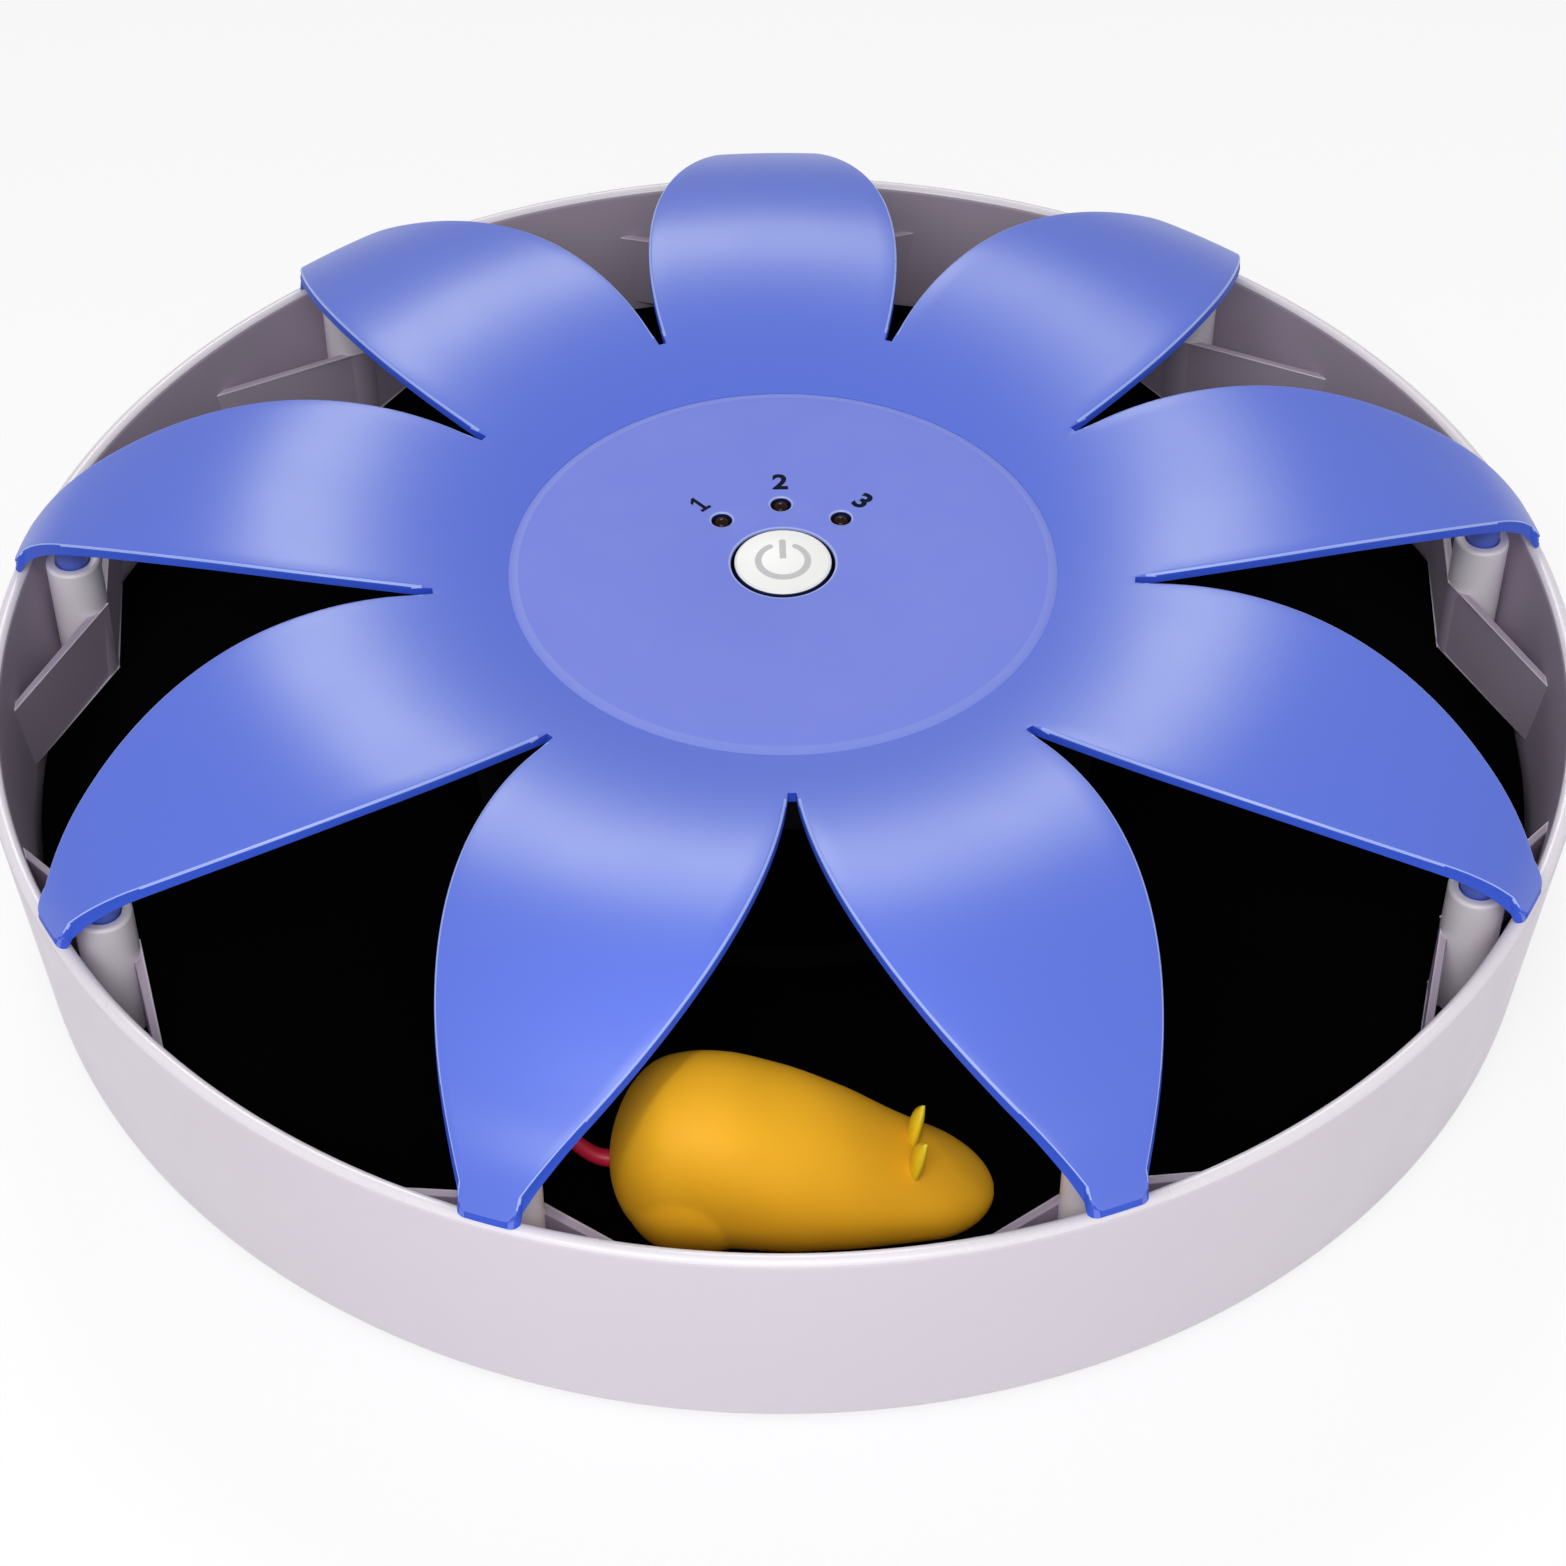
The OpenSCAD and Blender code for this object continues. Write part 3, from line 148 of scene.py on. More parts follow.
@dataclass(frozen=True)
class Finish:
    """A material by its common name, and the values that are the same all over it."""

    name: str
    colour: str
    drift: str
    roughness: float
    drift_mm: float = 40.0
    spread: float = 0.04
    # The real grain of a moulding is finer than a pixel, so it is drawn as coarse as it needs to show
    grain_mm: float = 0.5
    depth_mm: float = 0.004
    ior: float = 1.5
    specular: float = 0.5
    gloss_tint: str = "#ffffff"
    metallic: float = 0.0
    coat: float = 0.0
    coat_roughness: float = 0.1
    sheen: float = 0.0
    subsurface: float = 0.0
    subsurface_mm: float = 1.0
    # Colour of the painted highlight on rounded edges that face up, or None for none
    edge: Optional[str] = None
    edge_highlight_share: float = 0.5
    edge_highlight_mm: float = 0.5

    # Size of the clouds in the gloss, and the stretch of the noise that they use
    CLOUD_MM = 9.0
    CLOUD = (0.3, 0.7)
    # Roughness of the glossiest place that any finish may have
    GLOSSIEST = 0.02
    # Cosine of the bend where the painted highlight on an edge starts, and where it is full
    HIGHLIGHT_BEND = (0.985, 0.86)
    # Upward share of the normal where that painted highlight starts, and where it is full
    HIGHLIGHT_UPWARD = (0.15, 0.5)

    def height(self, tree: Tree, place: Socket) -> Socket:
        """Draws the relief of the surface, here the fine grain of a moulding."""
        grain = {"Scale": 1.0 / (self.grain_mm * MM), "Detail": 2.0}
        return add_node(tree, "ShaderNodeTexNoise", grain, {"Vector": place})

    def tone(self, tree: Tree, place: Socket) -> Socket:
        """Draws the colour: a slow drift between two shades, and a painted highlight on rounded edges that
        face up.

        Args:
            tree: the material's node tree.
            place: object coordinates in metres.

        Returns:
            The output that gives the colour.
        """
        slow = {"Scale": 1.0 / (self.drift_mm * MM), "Detail": 3.0}
        cloud = add_node(tree, "ShaderNodeTexNoise", slow, {"Vector": place})
        shades = {6: linear(self.colour), 7: linear(self.drift)}
        mixed = add_node(tree, "ShaderNodeMix", shades, {0: cloud}, out=2, data_type="RGBA")
        if self.edge is None:
            return mixed
        # Painted highlight: rounded edges, found by the bevel's bent normal, that face up get the edge colour
        flat = add_node(tree, "ShaderNodeNewGeometry", out="Normal")
        rounded = add_node(tree, "ShaderNodeBevel", {"Radius": self.edge_highlight_mm * MM}, samples=6)
        pair = {0: rounded, 1: flat}
        same = add_node(tree, "ShaderNodeVectorMath", links=pair, out="Value", operation="DOT_PRODUCT")
        bend = {"From Min": self.HIGHLIGHT_BEND[0], "From Max": self.HIGHLIGHT_BEND[1], "To Max": self.edge_highlight_share}
        share = add_node(tree, "ShaderNodeMapRange", bend, {"Value": same})
        up = add_node(tree, "ShaderNodeSeparateXYZ", links={0: flat}, out="Z")
        rise = {"From Min": self.HIGHLIGHT_UPWARD[0], "From Max": self.HIGHLIGHT_UPWARD[1]}
        upward = add_node(tree, "ShaderNodeMapRange", rise, {"Value": up})
        highlight_amount = add_node(tree, "ShaderNodeMath", links={0: share, 1: upward}, operation="MULTIPLY")
        tint = {7: linear(self.edge)}
        return add_node(tree, "ShaderNodeMix", tint, {0: highlight_amount, 6: mixed}, out=2, data_type="RGBA")

    def material(self) -> bpy.types.Material:
        """Builds the material, or finds it if a piece has it already.

        Returns:
            The material.
        """
        made = bpy.data.materials.get(self.name)
        if made is not None:
            return made
        made = bpy.data.materials.new(self.name)
        made.use_nodes = True
        tree = made.node_tree
        shader = tree.nodes["Principled BSDF"]
        place = add_node(tree, "ShaderNodeTexCoord", out="Object")
        cloudy = {"Scale": 1.0 / (self.CLOUD_MM * MM), "Detail": 4.0}
        cloud = add_node(tree, "ShaderNodeTexNoise", cloudy, {"Vector": place})
        gloss = {
            "From Min": self.CLOUD[0], "From Max": self.CLOUD[1],
            "To Min": max(self.GLOSSIEST, self.roughness - self.spread),
            "To Max": min(1.0, self.roughness + self.spread),
        }
        depth = {"Strength": 1.0, "Distance": self.depth_mm * MM}
        drawn = {
            "Base Color": self.tone(tree, place),
            "Normal": add_node(tree, "ShaderNodeBump", depth, {"Height": self.height(tree, place)}),
            "Roughness": add_node(tree, "ShaderNodeMapRange", gloss, {"Value": cloud}),
        }
        for key, socket in drawn.items():
            tree.links.new(socket, shader.inputs[key])
        even = {
            "IOR": self.ior, "Specular IOR Level": self.specular, "Specular Tint": linear(self.gloss_tint),
            "Metallic": self.metallic, "Coat Weight": self.coat, "Coat Roughness": self.coat_roughness,
            "Sheen Weight": self.sheen, "Subsurface Weight": self.subsurface,
            "Subsurface Scale": self.subsurface_mm * MM,
        }
        for key, value in even.items():
            shader.inputs[key].default_value = value
        return made


@dataclass(frozen=True)
class BrushedMetal(Finish):
    """A metal whose surface keeps the fine lines of turning or rolling."""

    # Real lines are finer than a pixel too, so they are drawn as coarse as they need to show
    line_mm: float = 0.25
    stretch: float = 8.0

    def height(self, tree: Tree, place: Socket) -> Socket:
        """Draws lines that run round Z, one to each line_mm of height.

        Args:
            tree: the material's node tree.
            place: object coordinates in metres.

        Returns:
            The output that gives the height.
        """
        up = 1.0 / (self.line_mm * MM)
        level = up / self.stretch
        lines = add_node(tree, "ShaderNodeMapping", {"Scale": (level, level, up)}, {"Vector": place})
        return add_node(tree, "ShaderNodeTexNoise", {"Scale": 1.0, "Detail": 3.0}, {"Vector": lines})


@dataclass(frozen=True)
class WovenLaminate(Finish):
    """A board whose glass cloth shows faintly through its solder mask."""

    thread_mm: float = 0.5

    # Angle in radians that Blender's wave gains over one unit at a scale of 1
    WAVE = 20.0

    def height(self, tree: Tree, place: Socket) -> Socket:
        """Draws the cloth as crossed waves, one to each thread.

        Args:
            tree: the material's node tree.
            place: object coordinates in metres.

        Returns:
            The output that gives the height.
        """
        apart = {"Scale": TURN / (self.WAVE * self.thread_mm * MM)}
        warp, weft = [
            add_node(tree, "ShaderNodeTexWave", apart, {"Vector": place}, out="Fac", bands_direction=way)
            for way in ("X", "Y")
        ]
        return add_node(tree, "ShaderNodeMath", links={0: warp, 1: weft}, operation="MAXIMUM")


# What the finishes of one material have in common
ABS = partial(Finish, ior=1.54)
SATIN_ABS = partial(Finish, drift_mm=25.0, grain_mm=0.4, depth_mm=0.006, specular=0.2)
PVC = partial(Finish, ior=1.53)
INK = partial(Finish, grain_mm=0.2, depth_mm=0.003)
METAL = partial(BrushedMetal, metallic=1.0)
POM = partial(Finish, drift_mm=15.0, ior=1.48)

# Moulded ABS, soft gloss: clean white with a faint lavender cast
WHITE_ABS = ABS("abs_white_moulded", "#ddd5df", "#d9d0db", 0.34, drift_mm=60.0, grain_mm=0.6, depth_mm=0.003)
# The same plastic on the lip, painted lighter as a painted highlight: the brightest line of the bowl
LIP_HIGHLIGHT_ABS = ABS("abs_white_lip_painted_highlight", "#ece6ed", "#e9e3ea", 0.28, grain_mm=0.6, depth_mm=0.002)
# The same plastic on the turned cores of the posts: smoother, and painted lighter than the walls beside them
# as painted light
POST_LIT_ABS = ABS("abs_white_posts_painted_light", "#f6f0f7", "#f2ebf3", 0.3, drift_mm=20.0, depth_mm=0.002)
# The same plastic inside the bowl: duller, painted darker mauve as painted shade, with painted highlights on
# upward edges
INSIDE_SHADE_ABS = ABS(
    "abs_white_inside_painted_shade", "#b4a6b8", "#ac9eb1", 0.5, drift_mm=30.0, grain_mm=0.4, depth_mm=0.006,
    edge="#ece4ee",
)
# Moulded ABS from a polished tool: even cornflower blue with a broad soft highlight
BLUE_ABS = ABS(
    "abs_cornflower_blue_moulded", "#5871df", "#5b74e1", 0.34, drift_mm=50.0, spread=0.01, grain_mm=0.45,
    depth_mm=0.002, specular=0.55, gloss_tint="#fdffc8",
)
# The same plastic on the petals' side walls, painted deeper and duller as painted shade beside the petals'
# faces
BLUE_SHADED_WALL = ABS(
    "abs_cornflower_blue_wall_painted_shade", "#3557d2", "#3a5cd6", 0.55, drift_mm=20.0, grain_mm=0.4, specular=0.15
)
# The same plastic on a rounded edge, painted lighter as a painted highlight: a thin bright line
BLUE_EDGE_HIGHLIGHT = ABS(
    "abs_cornflower_blue_edge_painted_highlight", "#9cb0f4", "#a0b3f5", 0.3, drift_mm=20.0, grain_mm=0.4,
    depth_mm=0.001,
)
# Moulded ABS from a spark-eroded tool: paler and duller than the petals
PANEL_ABS = ABS(
    "abs_lavender_fine_texture", "#7584e1", "#7988e3", 0.55, drift_mm=35.0, grain_mm=0.3, depth_mm=0.006,
    specular=0.2,
)
# The same plastic, glossier and painted lighter on the disc's bevel as a painted highlight
PANEL_BEVEL_HIGHLIGHT = ABS(
    "abs_lavender_bevel_painted_highlight", "#808fe2", "#8492e4", 0.45, drift_mm=20.0, grain_mm=0.4, depth_mm=0.002,
    specular=0.3,
)
# The same plastic on the holes' rims, painted almost white beside a dark hole as a painted highlight
HOLE_RIM_HIGHLIGHT = ABS(
    "abs_lavender_rim_painted_highlight", "#a3b0f2", "#a8b4f3", 0.3, drift_mm=5.0, grain_mm=0.3, depth_mm=0.001
)
# Moulded ABS with carbon black and a dull texture: swallows nearly all light
TRACK_ABS = Finish(
    "abs_black_dull_texture", "#020203", "#030304", 0.85, drift_mm=30.0, grain_mm=0.35, depth_mm=0.01,
    specular=0.02,
)
# Moulded ABS with carbon black, satin: almost black with a soft sheen; on the cover's skirts and plate it is
# painted shade
BLACK_ABS = SATIN_ABS("abs_black_satin", "#0b0b0d", "#101012", 0.5)
# Painted shade: a dark navy laid on the holes' walls and on the key's foot in the narrow gap round it, a soft
# dark line
NAVY_SHADE_ABS = SATIN_ABS("abs_navy_painted_shade", "#141a3e", "#181f46", 0.5)
# Rotation-moulded PVC: smooth amber skin with a little light inside it
AMBER_VINYL = PVC(
    "pvc_amber_rotomoulded", "#eeb022", "#ebab1e", 0.6, drift_mm=18.0, specular=0.18, subsurface=0.15,
    subsurface_mm=2.0,
)
# Moulded PVC leaves: lemon yellow, thin enough to glow at their edges
EAR_VINYL = PVC(
    "pvc_lemon_moulded", "#ecd026", "#e3c41c", 0.45, drift_mm=6.0, grain_mm=0.4, depth_mm=0.003,
    specular=0.35, subsurface=0.25,
)
# Extruded soft PVC: crimson, slightly waxy
TAIL_VINYL = PVC("pvc_crimson_extruded", "#d81f4a", "#ca1a42", 0.42, drift_mm=8.0, subsurface=0.1)
# Moulded ABS key top: clean white, satin
KEY_ABS = ABS("abs_white_key_top", "#f6f6f4", "#f2f2ef", 0.4, drift_mm=12.0, grain_mm=0.3, depth_mm=0.002)
# Pad-printed ink, thin and slightly raised: a quiet grey on the white key
GREY_INK = INK("ink_grey_pad_printed", "#c9c9ca", "#c2c2c4", 0.6, drift_mm=3.0)
# The same ink in navy: crisp, dull and nearly black on the disc
NAVY_INK = INK("ink_navy_pad_printed", "#06081c", "#0a0d26", 0.7, drift_mm=2.0, specular=0.1)
# Cast epoxy with a dark tint: deep brown and glassy
LAMP_EPOXY = Finish(
    "epoxy_brown_tinted_cast", "#1c0c06", "#2a120a", 0.16, drift_mm=2.0, grain_mm=0.4, depth_mm=0.001,
    ior=1.55, specular=0.14,
)
# Moulded rubber: dark, dry and lightly dusty
FOOT_RUBBER = Finish(
    "rubber_grey_moulded", "#2b2b2e", "#38383b", 0.8, drift_mm=5.0, grain_mm=0.4, depth_mm=0.02, sheen=0.1
)
# Cold-headed steel with bright zinc: cool silver with fine lines
ZINC_STEEL = METAL("steel_zinc_plated", "#b9bcc0", "#a9acb1", 0.3, drift_mm=3.0)
# Rolled steel with nickel: a warmer silver with a soft shine
NICKEL_STEEL = METAL("steel_nickel_plated", "#c4c0b6", "#b4b0a6", 0.28, drift_mm=8.0)
# Stamped brass sheet: dull gold
STAMPED_BRASS = METAL("brass_stamped", "#cfa95a", "#bf984a", 0.35, drift_mm=6.0)
# Moulded acetal: milky and slippery
ACETAL = POM("acetal_natural_moulded", "#ebe6d8", "#e4dece", 0.4, depth_mm=0.003, subsurface=0.1)
# Moulded acetal with carbon black: dull, for the collar that shows beside the hub
BLACK_ACETAL = POM("acetal_black_moulded", "#060607", "#08080a", 0.6, specular=0.08)
# Glass-cloth laminate under solder mask: glossy dark green with a faint weave
GREEN_BOARD = WovenLaminate(
    "laminate_green_solder_mask", "#1f6a3c", "#1a5c34", 0.35, drift_mm=10.0, depth_mm=0.01, coat=0.3
)
# Steel can in a plain printed jacket: glossy dark blue
CELL_JACKET = Finish(
    "steel_jacket_printed_blue", "#2d3a6b", "#27335f", 0.3, drift_mm=10.0, grain_mm=0.6, depth_mm=0.003,
    coat=0.4,
)


def polar(r: float, angle: float) -> Flat:
    """Gives the place at a radius and an angle in radians."""
    return (r * cos(angle), r * sin(angle))


def circle(radius: float, z: float, sides: int, at: Flat = (0.0, 0.0)) -> list[Point]:
    """Gives the points of a level circle."""
    places = [polar(radius, TURN * k / sides) for k in range(sides)]
    return [(at[0] + x, at[1] + y, z) for x, y in places]


def fillet(corners: Sequence[Point], steps: int = 5) -> list[Flat]:
    """Rounds the corners of a closed outline.

    Args:
        corners: each corner's two coordinates and its radius.
        steps: facets in each rounding.

    Returns:
        The outline's points, in order.
    """
    most = 0.499  # share of a side that one rounding may take
    out: list[Flat] = []
    for i, (x, y, radius) in enumerate(corners):
        if radius <= 0.0:
            out.append((x, y))
            continue
        here = Vector((x, y))
        back = Vector(corners[i - 1][:2]) - here
        ahead = Vector(corners[(i + 1) % len(corners)][:2]) - here
        half = back.angle(ahead) / 2.0
        reach = min(radius / tan(half), most * min(back.length, ahead.length))
        radius = reach * tan(half)
        back.normalize()
        ahead.normalize()
        centre = here + (back + ahead).normalized() * (radius / sin(half))
        first, last = here + back * reach - centre, here + ahead * reach - centre
        for k in range(steps + 1):
            arm = first.lerp(last, k / steps).normalized() * radius
            out.append((centre.x + arm.x, centre.y + arm.y))
    return out


@dataclass
class Shape:
    """Points in millimetres and faces of a mesh in the making."""

    points: list[Point] = field(default_factory=list)
    faces: list[tuple[int, ...]] = field(default_factory=list)

    # Radius in millimetres under which a ring is a pole
    POLE_R = 1e-6
    # Distance in metres within which points join
    JOIN_M = 1e-7

    def add(self, points: Sequence[Point], faces: Sequence[Sequence[int]]) -> None:
        """Takes in more of the mesh.

        Args:
            points: further points in millimetres.
            faces: their faces, which count from the first of these points.
        """
        start = len(self.points)
        self.points.extend(points)
        self.faces.extend(tuple(start + i for i in f) for f in faces)

    def turn(self, profile: Sequence[Flat], sides: int, at: Flat = (0.0, 0.0)) -> None:
        """Turns a closed profile round an upright axis.

        Args:
            profile: radius and height of each point; a radius of 0 makes a pole.
            sides: facets round the axis.
            at: where the axis stands.
        """
        points: list[Point] = []
        rings: list[list[int]] = []
        for r, z in profile:
            ring = circle(r, z, sides, at) if r > self.POLE_R else [(at[0], at[1], z)]
            rings.append([len(points) + k % len(ring) for k in range(sides)])
            points.extend(ring)
        faces = []
        for low, high in zip(rings, rings[1:] + rings[:1]):
            for k in range(sides):
                n = (k + 1) % sides
                corners = list(dict.fromkeys((low[k], low[n], high[n], high[k])))
                if len(corners) > 2:
                    faces.append(corners)
        self.add(points, faces)

    def prism(self, outline: Sequence[Flat], low: float, high: float) -> None:
        """Raises an outline in plan to a solid between two heights."""
        self.tube([[(x, y, z) for x, y in outline] for z in (low, high)], Ends.FLAT)

    def tube(self, rings: Rings, ends: Ends = Ends.POLE) -> None:
        """Skins rings of equal count.

        Args:
            rings: the rings in order.
            ends: whether both ends stay open, or get a flat face or a point in the middle.
        """
        sides = len(rings[0])
        points = [p for ring in rings for p in ring]
        last = len(points) - sides
        faces: list[tuple[int, ...]] = []
        for start in range(0, last, sides):
            for j in range(sides):
                n = (j + 1) % sides
                faces.append((start + j, start + n, start + sides + n, start + sides + j))
        if ends is Ends.FLAT:
            faces += [tuple(reversed(range(sides))), tuple(range(last, last + sides))]
        if ends is Ends.POLE:
            for ring, first in ((rings[0], 0), (rings[-1], last)):
                faces += [(first + j, first + (j + 1) % sides, len(points)) for j in range(sides)]
                points.append(tuple(sum((Vector(p) for p in ring), Vector()) / sides))
        self.add(points, faces)

    def piece(
        self,
        name: str,
        finish: Finish,
        body: Body,
        slot: str,
        sharp: float = 40.0,
        others: Sequence[Finish] = (),
        zone: Optional[Zone] = None,
    ) -> bpy.types.Object:
        """Makes the mesh a piece of the toy.

        Args:
            name: the piece's name.
            finish: its material.
            body: the body that it rides on.
            slot: the record's material slot; not used.
            sharp: angle in degrees above which an edge shades sharp.
            others: further materials, for the faces that zone gives them.
            zone: tells a face's material from its centre in millimetres and its normal.

        Returns:
            The new object.
        """
        mesh = bpy.data.meshes.new(name)
        mesh.from_pydata([(x * MM, y * MM, z * MM) for x, y, z in self.points], [], self.faces)
        work = bmesh.new()
        work.from_mesh(mesh)
        bmesh.ops.remove_doubles(work, verts=work.verts, dist=self.JOIN_M)
        bmesh.ops.recalc_face_normals(work, faces=work.faces)
        work.to_mesh(mesh)
        work.free()
        mesh.polygons.foreach_set("use_smooth", [True] * len(mesh.polygons))
        mesh.set_sharp_from_angle(angle=radians(sharp))
        for one in (finish, *others):
            mesh.materials.append(one.material())
        if zone is not None:
            for face in mesh.polygons:
                face.material_index = zone(face.center / MM, face.normal)
        piece = put(name, mesh)
        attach(piece, body.value)
        LOG.info("piece %s: %d faces", name, len(mesh.polygons))
        return piece


def soften(
    piece: bpy.types.Object, width_mm: float, weld: bool = False, angle: float = 40.0, steps: int = 3
) -> None:
    """Rounds a piece's sharp edges with a bevel.

    Args:
        piece: the object that takes the bevel.
        width_mm: width of the rounding.
        weld: joins split vertices first, as on a CAD node.
        angle: edges sharper than this, in degrees, are rounded.
        steps: facets in the rounding.
    """
    if weld:
        piece.modifiers.new("join", "WELD").merge_threshold = WELD_M
    bevel = piece.modifiers.new("round", "BEVEL")
    bevel.width = width_mm * MM
    bevel.segments = steps
    bevel.limit_method = "ANGLE"
    bevel.angle_limit = radians(angle)
    bevel.harden_normals = True


@dataclass
class Bowl:
    """White bowl: drafted wall with a round lip, posts with sockets and gusset ribs."""

    rim_r: float = 125.0
    rim_z: float = 39.5
    foot_z: float = 1.2
    foot_rounds: Flat = (0.3, 0.6)
    lip_round: float = 1.29
    lip_band: float = 0.6
    edge_round: float = 0.22
    wall: float = 2.6
    lean: float = 3.1
    post_r: float = 116.0
    post_d: float = 8.8
    post_rounds: Flat = (0.6, 0.3)
    socket_d: float = 5.6
    socket_depth: float = 14.0
    rib_low: float = 16.3
    rib_high: float = 30.5
    rib_t: float = 1.2
    rib_span: float = 13.0
    petals: int = 9
    wall_sides: int = 288
    lip_steps: int = 8
    post_sides: int = 56

    def inner_r(self, z: float) -> float:
        """Gives the wall's inner radius at a height."""
        return self.rim_r - self.wall - self.lean * (self.rim_z - z) / (self.rim_z - self.foot_z)

    def angles(self) -> list[float]:
        """Gives the posts' angles in radians."""
        return [radians(90.0 + 360.0 * i / self.petals) for i in range(self.petals)]

    def rib(self, angle: float, side: float) -> list[Flat]:
        """Gives the plan of one gusset rib.

        Args:
            angle: its post's angle.
            side: 1 or -1 for the rib's side of the post.

        Returns:
            The rib's corners.
        """
        mid = self.inner_r(self.rib_low) + self.wall / 2.0
        start = Vector((self.post_r - self.post_d / 2.0, 0.0))
        end = Vector(polar(mid, side * radians(self.rib_span)))
        along = (end - start).normalized()
        across = Vector((abs(along.y), -side * along.x)) * self.rib_t
        plan = (start, end, end + across, start + across)
        c, s = cos(angle), sin(angle)
        return [(p.x * c - p.y * s, p.x * s + p.y * c) for p in plan]

    def zone(self, centre: Vector, normal: Vector) -> int:
        """Tells the lip, the inside and the posts from the outside, for their painted highlight, shade and
        light.

        Args:
            centre: a face's centre in millimetres.
            normal: its normal, which isn't needed here.

        Returns:
            1 on the lip, 2 inside, 3 on the posts and 0 outside.
        """
        slack, core, outer = 0.1, 0.25, 0.6
        r = hypot(centre.x, centre.y)
        if centre.z > self.rim_z - self.lip_band and r > self.rim_r - self.wall - slack:
            return 1
        step = TURN / self.petals
        off = (atan2(centre.y, centre.x) - TURN / 4.0 + step / 2.0) % step - step / 2.0
        out = r * cos(off) - self.post_r
        near = hypot(out, r * sin(off)) < self.post_d / 2.0 + slack
        if near and (centre.z > self.rib_high or out > -core * self.post_d):
            return 3
        return 0 if r > self.inner_r(centre.z) + outer * self.wall else 2

    def build(self) -> None:
        """Builds the bowl over its CAD node."""
        low_r = self.inner_r(self.foot_z)
        wall = [
            (low_r, self.foot_z, self.foot_rounds[0]),
            (low_r + self.wall, self.foot_z, self.foot_rounds[1]),
            (self.rim_r, self.rim_z, self.lip_round),
            (self.rim_r - self.wall, self.rim_z, self.lip_round),
        ]
        shape = Shape()
        shape.turn(fillet(wall, self.lip_steps), self.wall_sides)
        post = self.post_d / 2.0
        bore = self.socket_d / 2.0
        floor = self.rim_z - self.socket_depth
        sides = [
            (post, self.rib_low, 0.0),
            (post, self.rib_high, 0.0),
            (post, self.rim_z, self.post_rounds[0]),
            (bore, self.rim_z, self.post_rounds[1]),
            (bore, floor, 0.0),
        ]
        profile = [(0.0, self.rib_low), *fillet(sides), (0.0, floor)]
        for angle in self.angles():
            shape.turn(profile, self.post_sides, polar(self.post_r, angle))
            for side in (-1.0, 1.0):
                shape.prism(self.rib(angle, side), self.rib_low, self.rib_high)
        # Painted highlight on the lip, painted shade inside, painted light on the posts
        others = (LIP_HIGHLIGHT_ABS, INSIDE_SHADE_ABS, POST_LIT_ABS)
        piece = shape.piece("bowl_shell", WHITE_ABS, Body.BASE, "white_abs", others=others, zone=self.zone)
        soften(piece, self.edge_round, angle=60.0)
        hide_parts("bowl")


